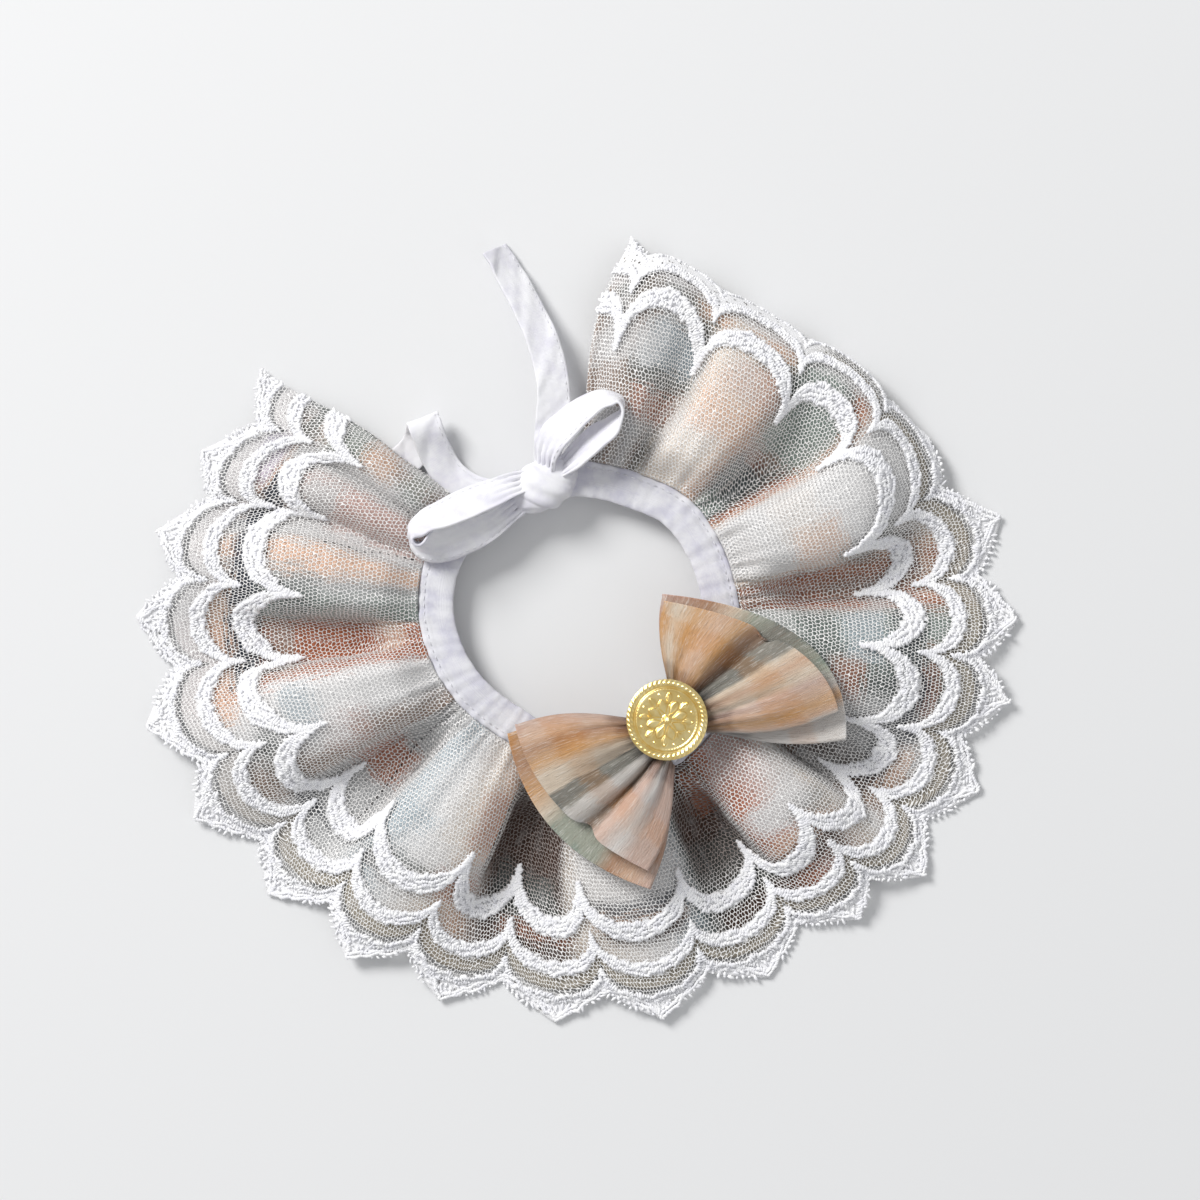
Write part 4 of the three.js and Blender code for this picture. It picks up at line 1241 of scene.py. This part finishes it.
def neck_tape(tape, white_thread):
    columns, corners = 520, 40
    deg = np.linspace(TAPE_ENDS[0], TAPE_ENDS[1], columns)
    length = np.r_[0, np.cumsum(np.abs(np.diff(np.radians(deg))) * TAPE_MEAN_RADIUS)]
    turn = np.linspace(0, 2 * np.pi, corners, endpoint=False)
    half = TAPE_WIDTH / 2
    flat = squared(np.cos(turn), 0.55) * half
    flat = np.where(flat > 0, flat * (1 + 0.4 / half), flat)  # the outer edge laps over the gathers
    high = squared(np.sin(turn), 0.6) * TAPE_THICK / 2
    pucker = waves(length[:, None] + 0 * flat, [(5.3, 0.13, 0.0), (3.7, 0.1, 1.0), (8.9, 0.12, 2.0)])
    outer = ramp(flat, 0.0, half)
    crown = pucker * (0.35 + 0.65 * outer) * (high > 0)
    seam_line = -0.28 * bell(flat - half, -TAPE_SEAM_INSET, 0.35) * (high > 0)
    sag = waves(length[:, None] + 0 * flat, TAPE_SAG)
    radius = tape_radius(deg)[:, None] + flat + 0.3 * pucker * np.sign(flat)
    rings = polar(deg[:, None], radius, TAPE_LIFT + TAPE_THICK / 2 + high + crown + seam_line + sag)
    around = np.r_[0, np.cumsum(np.hypot(np.diff(np.r_[flat, flat[0]]), np.diff(np.r_[high, high[0]])))]

    def strip(i, k):
        return length[i], around[k]

    piece = tube("neck_tape_bias", rings[:, ::-1], {"strip": strip})
    dress(piece, tape, "white_tape", "neck_tape")
    seam_deg = np.linspace(86, -240, 900)
    seam_radius = tape_radius(seam_deg) + half - TAPE_SEAM_INSET
    seam_sag = waves((TAPE_ENDS[0] - seam_deg) * TAPE_PER_DEGREE, TAPE_SAG)
    seam_high = TAPE_LIFT + TAPE_THICK - 0.1 + seam_sag
    run = polar(seam_deg, seam_radius, seam_high)
    up = np.tile([0.0, 0.0, 1.0], (len(run), 1))
    seam = stitched("neck_tape_seam", [(run, up)], 2.3, 1.7, 0.32, 0.12, math.pi / 2, 21, white_thread)
    dress(seam, None, "white_tape")


# ---- The bow ------------------------------------------------------------------------------------------
# Each loop's outer edge at its top, middle and bottom, its root's top and bottom, how far it lies above
# BOW_UNDER, the gap between its layers and how far it puffs up.
WINGS = {
    "bow_back_right": ((22.5, 29.5), (46.5, -7.5), (37.6, -38.5), (6.8, 7), (6.8, -10), 0.0, 0.7, 0.6),
    "bow_back_left": ((-39.6, 26.3), (-47, -5), (-35.6, -36.4), (-6.8, 5), (-6.8, -11), 0.0, 0.7, 0.6),
    "bow_front_right": ((21.6, 27.6), (42, -5), (41, -30.5), (6.8, 7.5), (6.8, -10.5), 3.6, 1.2, 3.4),
    "bow_front_left": ((-36, 27), (-41.2, 0), (-32.5, -31.6), (-6.8, 5.5), (-6.8, -12), 3.6, 1.2, 3.4),
}
EDGE_SWELL = 3.2
CLOTH_THICK = 1.0

# Creases that run out of the knot: where across the loop from its bottom edge, how wide on the lower and on
# the upper side, how far they reach and how they lift.
WING_CREASES = {
    "bow_back_right": (
        (0.2, 0.05, 0.05, 0.8, 0.5),
        (0.55, 0.04, 0.04, 0.6, -0.5),
        (0.8, 0.05, 0.05, 0.8, 0.4),
    ),
    "bow_back_left": (
        (0.25, 0.05, 0.05, 0.7, 0.5),
        (0.5, 0.04, 0.04, 0.6, -0.5),
        (0.75, 0.05, 0.05, 0.8, 0.4),
    ),
    "bow_front_right": (
        (0.15, 0.05, 0.05, 0.8, 1.0),
        (0.28, 0.03, 0.04, 0.9, -1.4),
        (0.47, 0.12, 0.035, 1.2, 2.6),
        (0.59, 0.035, 0.06, 1.5, -6.0),
        (0.72, 0.05, 0.06, 1.0, 1.2),
        (0.84, 0.03, 0.04, 0.8, -1.0),
    ),
    "bow_front_left": (
        (0.12, 0.04, 0.04, 0.9, -1.0),
        (0.24, 0.1, 0.04, 1.2, 2.6),
        (0.33, 0.03, 0.045, 1.5, -5.6),
        (0.5, 0.05, 0.05, 1.0, 1.6),
        (0.57, 0.025, 0.05, 0.9, -1.8),
        (0.74, 0.06, 0.06, 0.8, 1.2),
        (0.86, 0.03, 0.04, 0.7, -1.0),
    ),
}
WING_NOTCH = {"bow_front_right": 0.59, "bow_front_left": 0.33}  # where a deep crease draws the outer edge in


def bow_turned(points):
    """From the bow's own axes, with its length along x, to the neck's."""
    return turned(points, BOW_ANGLE, (*BUTTON_PLACE, 0.0))


def wing(name, satin):
    *corners, under, gap, puff = WINGS[name]
    top, middle, bottom, start_top, start_bottom = (np.array(corner) for corner in corners)
    columns, rows = 97, 65
    turn = np.linspace(-1, 1, columns)[:, None]
    right = middle[0] > 0
    w = np.linspace(1, 0, rows)[None, :] if right else np.linspace(0, 1, rows)[None, :]
    control = 2 * middle - (top + bottom) / 2
    end = (1 - w)[..., None] ** 2 * bottom + 2 * (w * (1 - w))[..., None] * control + w[..., None] ** 2 * top
    start = mix(start_bottom, start_top, w[..., None])
    reach = np.sqrt(1 - np.abs(turn) ** 2.6) ** 0.9 * np.ones_like(w)
    if name in WING_NOTCH:
        reach = reach * (1 - 0.07 * bell(w, WING_NOTCH[name], 0.05))
    plan = mix(start, end, reach[..., None])
    plan[..., 1] += EDGE_SWELL * np.sin(np.pi * reach) * (2 * w - 1)
    inside = 0.35
    plan[..., 0] -= (1 if right else -1) * inside * np.maximum(0, 1 - np.abs(turn) * 5)
    share = 1 - np.abs(turn)
    spread = np.clip(1.06 * np.sin(np.pi / 2 * np.minimum(1, share * 1.15)), 0.02, 1)
    lobes = np.sin(np.pi * np.abs(2 * w - 1)) ** 0.9
    swell = puff * lobes * np.sin(np.pi * np.minimum(1, 0.12 + reach * 0.7))
    half = (gap * spread + CLOTH_THICK) / 2
    level = np.sin(np.pi / 2 * np.clip(turn * 5, -1, 1))
    crumples = 0
    for place, lower, upper, far, lift in WING_CREASES[name]:
        width = np.where(w < place, lower, upper) * (0.6 + 0.8 * reach)
        fading = (1 - ramp(reach, far * 0.5, far)) * ramp(reach, 0.0, 0.18)
        crumples = crumples + lift * bell(w, place, width) * fading
    gathers = waves(w * 40 + 0 * reach, [(5.1, 0.35, 0.0), (3.3, 0.25, 1.3)]) * np.exp(-reach * 5)
    slack = waves(reach * 45 + 0 * w, [(17.0, 0.22, 0.5), (29.0, 0.25, 2.1)]) * np.sin(np.pi * w)
    centre = BOW_UNDER + under + CLOTH_THICK + gap / 2
    z = centre + level * (half + CLOTH_THICK / 2 - inside)
    z = z + np.maximum(level, 0) * (swell + crumples * 0.75 + gathers + slack)
    grid = bow_turned(np.concatenate([plan, z[..., None]], axis=-1))
    facing = surface_normals(grid)
    length = np.r_[0, np.cumsum(np.linalg.norm(np.diff(grid[:, rows // 2], axis=0), axis=1))]

    def strip(i, j, _):
        return np.abs(length[i] - length[columns // 2]), w[0, j] * LOOP_SPREAD

    piece = cloth_sheet(name + "_satin", grid, facing, 0.5, {"strip": strip})
    dress(piece, satin, "bow_plaid", name)


def bow_centre(tape):
    """The binding strip round the bow's middle, with creases across it."""
    columns, corners = 40, 56
    low, high = TAPE_LIFT + TAPE_THICK + SEAM_GAP, BOW_UNDER + 8.4
    x = np.linspace(-6.4, 6.4, columns)[:, None]
    turn = np.linspace(0, 2 * np.pi, corners, endpoint=False)[None, :]
    waist = 1 - 0.1 * np.cos(np.pi * x / 12.8)
    folds = 0.25 * np.sin(x * 1.9 + 0.6 * np.sin(turn * 2)) + 0.15 * np.sin(x * 3.1 + turn)
    y = -1.5 + (10.2 * squared(np.cos(turn), 0.55) + folds * np.cos(turn)) * waist
    z = (low + high) / 2 + ((high - low) / 2 - 0.15) * squared(np.sin(turn), 0.55)
    rings = bow_turned(stacked(x, y, z))

    def strip(i, k):
        return i * 12.8 / columns, k * 60.0 / corners

    piece = tube("bow_centre_binding", rings, {"strip": strip})
    dress(piece, tape, "white_tape", "bow_centre")


ROPE_STRANDS = 48
BEADS = 64
PETALS = 8
DOTS = 16


def button(gilt):
    """A round button with a roped rim, a beaded ring and a rosette, as a height over each place."""
    spokes, steps = 240, 90
    theta = np.linspace(0, 2 * np.pi, spokes, endpoint=False)[:, None]
    r = np.linspace(0.02, 1, steps)[None, :] ** 0.8 * BUTTON_RADIUS
    dome = 2.75 - 0.35 * (r / BUTTON_RADIUS) ** 2
    strands = np.sin(ROPE_STRANDS * theta + (r - 11) * 3.0)
    rope = 0.55 * bell(r, 11.0, 0.75) * (0.72 + 0.28 * strands)
    groove = -0.3 * bell(r, 9.7, 0.28)
    ring = 0.26 * bell(r, 9.0, 0.3) * (0.8 + 0.2 * np.cos(BEADS * theta))
    petal_angle = (theta * PETALS / (2 * np.pi)) % 1 - 0.5
    petal_width = 0.46 * np.sin(np.pi * np.clip((r - 1.6) / 4.6, 0, 1)) ** 0.7
    leaf_angle = (theta * PETALS / (2 * np.pi) + 0.5) % 1 - 0.5
    leaf_width = 0.2 * np.sin(np.pi * np.clip((r - 4.6) / 3.6, 0, 1))

    def blades(height, angle, width, least=0.03):
        return height * np.clip(1 - (angle / np.maximum(width, least)) ** 2, 0, 1) * (width > least)

    petals = blades(0.75, petal_angle, petal_width) * (0.8 + 0.2 * np.abs(petal_angle) * 4)
    leaves = blades(0.5, leaf_angle, leaf_width)
    heart = 0.9 * np.exp(-((r / 1.25) ** 4)) + 0.12 * np.exp(-((r / 1.25) ** 4)) * np.cos(10 * theta)
    dots = 0.3 * bell(r, 7.7, 0.35) * np.clip(np.cos(DOTS * theta), 0, 1) ** 3
    z = dome + rope + groove + ring + petals + leaves + heart + dots
    face = stacked(r * np.cos(theta), r * np.sin(theta), z)
    side_radius = np.array([12.0, 12.0, 11.85, 11.4, 10.4, 3.0, 0.3])
    side_height = np.array([1.9, 0.9, 0.45, 0.15, 0.0, 0.0, 0.0])
    knurl = 1 + 0.006 * np.sin(ROPE_STRANDS * theta)
    radius = side_radius * np.where(side_radius > 11, knurl, 1)
    skirt = stacked(radius * np.cos(theta), radius * np.sin(theta), side_height[None, :])
    rings = np.concatenate([face, skirt], axis=1).transpose(1, 0, 2)
    rings = bow_turned(rings + np.array([0, 0, BUTTON_UNDER]))
    piece = tube("button_rosette", rings[::-1], {})
    dress(piece, gilt, "gilt_metal", "button")


# ---- The tie ------------------------------------------------------------------------------------------
# Each length of tape as points on its middle line, with the direction that its width faces, how far that
# tilts up, and the width.
TIES = {
    "tie_tail_long": table("x y z facing tilt width", """
        -9.6 46 9 180 0 6.5
        -8.6 53.5 10.4 180 0 8.5
        -7.4 62 11.2 182 5 10
        -7 71 11 186 12 10
        -9.4 83 9.5 198 18 10
        -14.4 95 7 206 26 10
        -20.6 106.5 4.6 211 36 10
        -24.8 113.6 4 213 42 10
    """),
    "tie_tail_short": table("x y z facing tilt width", """
        -12.5 42.2 6.8 262 0 6
        -19 40.4 4.7 266 0 7.5
        -26 39.6 4 266 0 9
        -33 41.6 3 250 0 9.5
        -38.8 46 2.6 226 0 10
        -42.6 52.4 4.4 207 0 10
        -45 58.6 7.6 203 0 10
        -46.2 61.8 7.4 203 0 10
        -46.4 61.8 5.2 202 0 10
        -46.8 57.5 2.8 196 0 10
        -49 53 1.8 178 0 10
        -52.6 49.4 1.4 162 0 10
    """),
    "tie_loop_left": table("x y z facing tilt width", """
        -14.5 43.6 12.6 246 16 6
        -20.6 41.6 14.2 246 20 8
        -29 38.2 15.6 246 23 10
        -38 34.2 16.6 248 26 10
        -45.4 30.8 17.4 258 40 10
        -49.4 27.6 17.4 290 70 11
        -47.4 24.4 16.2 320 122 11.5
        -41 24.2 14.2 300 150 11.5
        -33 27 12.6 298 157 11
        -26.2 30 12 302 160 9
        -20.4 34.4 11.4 306 164 7.5
        -15.4 38.4 10.8 308 168 6
    """),
    "tie_loop_right": table("x y z facing tilt width", """
        -9.4 46.4 12.4 150 -14 6
        -9 51.8 15.5 150 -22 8
        -6.2 57.2 17.1 145 -28 10
        -0.3 62.8 18.3 132 -36 10
        6.9 67.2 19.3 114 -52 10
        12.2 67.4 19.5 60 -76 10
        13.6 64.2 19.5 10 -92 10
        11.0 60.4 19.0 -34 -118 10.5
        6.0 56.3 18.0 -42 -134 10.5
        0.8 51.8 16.0 -42 -138 9
        -4.6 46.8 12.2 -42 -130 6
    """),
}
TIE_LENGTHS = {"tie_tail_long": 72, "tie_tail_short": 62, "tie_loop_left": 78, "tie_loop_right": 62}


def tie_line(rows, share):
    """Points, width directions and widths along a length of tape."""
    count = len(rows["x"])
    rows = dict(rows, share=np.linspace(0, 1, count))
    read = {key: along(rows, "share", key, share) for key in ("x", "y", "z", "facing", "tilt", "width")}
    centre = np.stack([read["x"], read["y"], read["z"]], axis=-1)
    ahead = unit(np.gradient(centre, axis=0))
    tilt = np.radians(read["tilt"])
    across = polar(read["facing"], np.cos(tilt), np.sin(tilt))
    across = unit(across - ahead * np.sum(across * ahead, axis=-1, keepdims=True))
    return centre, ahead, across, read["width"]


TIE_LEAST_HEIGHT = 0.55  # of the middle of the tape


def tie(name, tape, white_thread):
    columns, rows = 160, 19
    share = np.linspace(0, 1, columns)
    centre, ahead, across, width = tie_line(TIES[name], share)
    out = unit(np.cross(ahead, across))
    w = np.linspace(-0.5, 0.5, rows)
    seed = sum(map(ord, name)) % 7
    length = TIE_LENGTHS[name] * share
    ripples = [(11.3, 0.2, seed), (19.0, 0.25, seed * 1.7), (6.7, 0.1, seed * 0.6)]
    ripple = waves(length[:, None] + 14 * w, ripples)
    drawn = (10.2 - width) / 4.2
    gathers = 0.5 * drawn[:, None] * np.sin(w * 26 + seed)
    grid = centre[:, None] + across[:, None] * (w * width[:, None])[..., None]
    grid = grid + out[:, None] * (ripple * (0.4 + np.abs(w)) + gathers)[..., None]
    grid[..., 2] = np.maximum(grid[..., 2], TIE_LEAST_HEIGHT)
    facing = surface_normals(grid)

    def strip(i, j, _):
        return length[i], w[j] * 10

    piece = cloth_sheet(name + "_tape", grid, facing, 0.8, {"strip": strip})
    dress(piece, tape, "white_tape", name)
    held = "laid" if "tail" in name else "folded"
    up = facing[4:-3, 2]
    run = (grid[4:-3, 2] + up * 0.42, up)
    seam = stitched(name + "_seam", [run], 2.2, 1.5, 0.26, 0.12, math.pi / 2, 31 + seed, white_thread)
    dress(seam, None, "white_tape")


KNOT_PLACE = (-9.8, 42.4, 9.6)
KNOT_TURN = 35.0
KNOT_LENGTH, KNOT_WIDTH, KNOT_HEIGHT = 23.0, 15.5, 11.6


def tie_knot(tape):
    """The knot: a wrap of tape drawn tight round the loops' roots."""
    spokes, steps = 120, 90
    theta = np.linspace(0, 2 * np.pi, spokes, endpoint=False)[None, :]
    phi = np.linspace(0.02, np.pi - 0.02, steps)[:, None]
    x = -np.cos(phi)
    y, z = (np.sin(phi) * squared(part, 0.8) for part in (np.cos(theta), np.sin(theta)))
    lean = x + 0.22 * z + 0.3 * y
    wrap = 1 + 0.10 * ramp(0.5 - np.abs(lean), 0.0, 0.09)
    pleats = 0.04 * np.sin(lean * 13 + 1.2 * np.sin(theta * 2)) * ramp(0.6 - np.abs(lean), 0, 0.2)
    roots = 0.05 * np.sin(theta * 7) * ramp(np.abs(lean), 0.55, 0.8)
    size = (wrap + pleats + roots) * 0.9
    across, up = y * size * KNOT_WIDTH / 2, z * size * KNOT_HEIGHT / 2
    placed = turned(stacked(x * KNOT_LENGTH / 2 * 0.98, across, up), KNOT_TURN, KNOT_PLACE)

    def strip(i, k):
        return k * 45.0 / spokes, i * 30.0 / steps

    piece = tube("tie_knot_tape", placed, {"strip": strip})
    dress(piece, tape, "white_tape", "tie_knot")


# ---- Setting ------------------------------------------------------------------------------------------
FRAME_WIDTH = 0.36  # what the picture spans at the height of the ruffle
CAMERA_HEIGHT = 1.2
MID_HEIGHT = 0.008
NECK_OFF_CENTRE = (-0.0069, -0.0078)  # where the neck lies from the picture's middle
SENSOR_WIDTH = 36.0
TABLE_HALF = 3.0
TABLE_TOP = -0.0003  # just under what rests on it


def camera():
    data = bpy.data.cameras.new("camera")
    data.sensor_width = SENSOR_WIDTH
    data.lens = SENSOR_WIDTH * (CAMERA_HEIGHT - MID_HEIGHT) / FRAME_WIDTH
    data.clip_start = 0.05
    data.clip_end = 20.0
    eye = linked("camera", data)
    eye.location = (NECK_X - NECK_OFF_CENTRE[0], NECK_Y - NECK_OFF_CENTRE[1], CAMERA_HEIGHT)
    bpy.context.scene.camera = eye


def area_light(name, place, size, power, colour):
    data = bpy.data.lights.new(name, "AREA")
    data.shape = "DISK"
    data.size = size
    data.energy = power
    data.color = colour
    light = linked(name, data)
    light.location = place
    light.rotation_euler = (-Vector(place)).to_track_quat("-Z", "Y").to_euler()


def setting():
    finish = Finish("pale table", base_color=(0.785, 0.79, 0.80), roughness=0.6)
    mesh = bpy.data.meshes.new("table top")
    around = ((-1, -1), (1, -1), (1, 1), (-1, 1))
    mesh.from_pydata([(TABLE_HALF * x, TABLE_HALF * y, TABLE_TOP) for x, y in around], [], [(0, 1, 2, 3)])
    mesh.materials.append(finish.material)
    linked("table_top", mesh)
    area_light("window", (-1.7, 1.62, 1.95), 1.25, 83.0, (1.0, 0.99, 0.975))
    area_light("fill", (1.2, -1.0, 1.6), 1.6, 2.5, (0.96, 0.98, 1.0))
    world = bpy.data.worlds.new("room")
    world.use_nodes = True
    colour, strength = world.node_tree.nodes["Background"].inputs[:2]
    colour.default_value = (0.98, 0.99, 1.0, 1.0)
    strength.default_value = 0.48
    bpy.context.scene.world = world
    bpy.context.scene.view_settings.view_transform = "Standard"


# ---- The collar ---------------------------------------------------------------------------------------
camera()
setting()

floss = embroidery_finish()
# Two copies of one white tape: the darker, more lilac copy for the neck tape and the bow's binding is painted
# shade, the lighter copy for the ties is painted light.
tape = tape_finish("white bias tape", (0.60, 0.595, 0.69), (0.77, 0.77, 0.81))
lit_tie_tape = tape_finish("white tie tape", (0.76, 0.75, 0.83), (0.88, 0.88, 0.91))
white_thread = thread_finish("white thread", (0.86, 0.86, 0.90))
dark_thread = thread_finish("dark thread", (0.05, 0.045, 0.045))

cloth_ruffle()
ruffle_seams(dark_thread)
net = lace_net()
rows = embroidery(floss)
neck_tape(tape, white_thread)
for wing_name in WINGS:
    wing(wing_name, bow_finish(wing_name))
bow_centre(tape)
button(gilt_finish())
for tie_name in TIES:
    tie(tie_name, lit_tie_tape, white_thread)
tie_knot(lit_tie_tape)
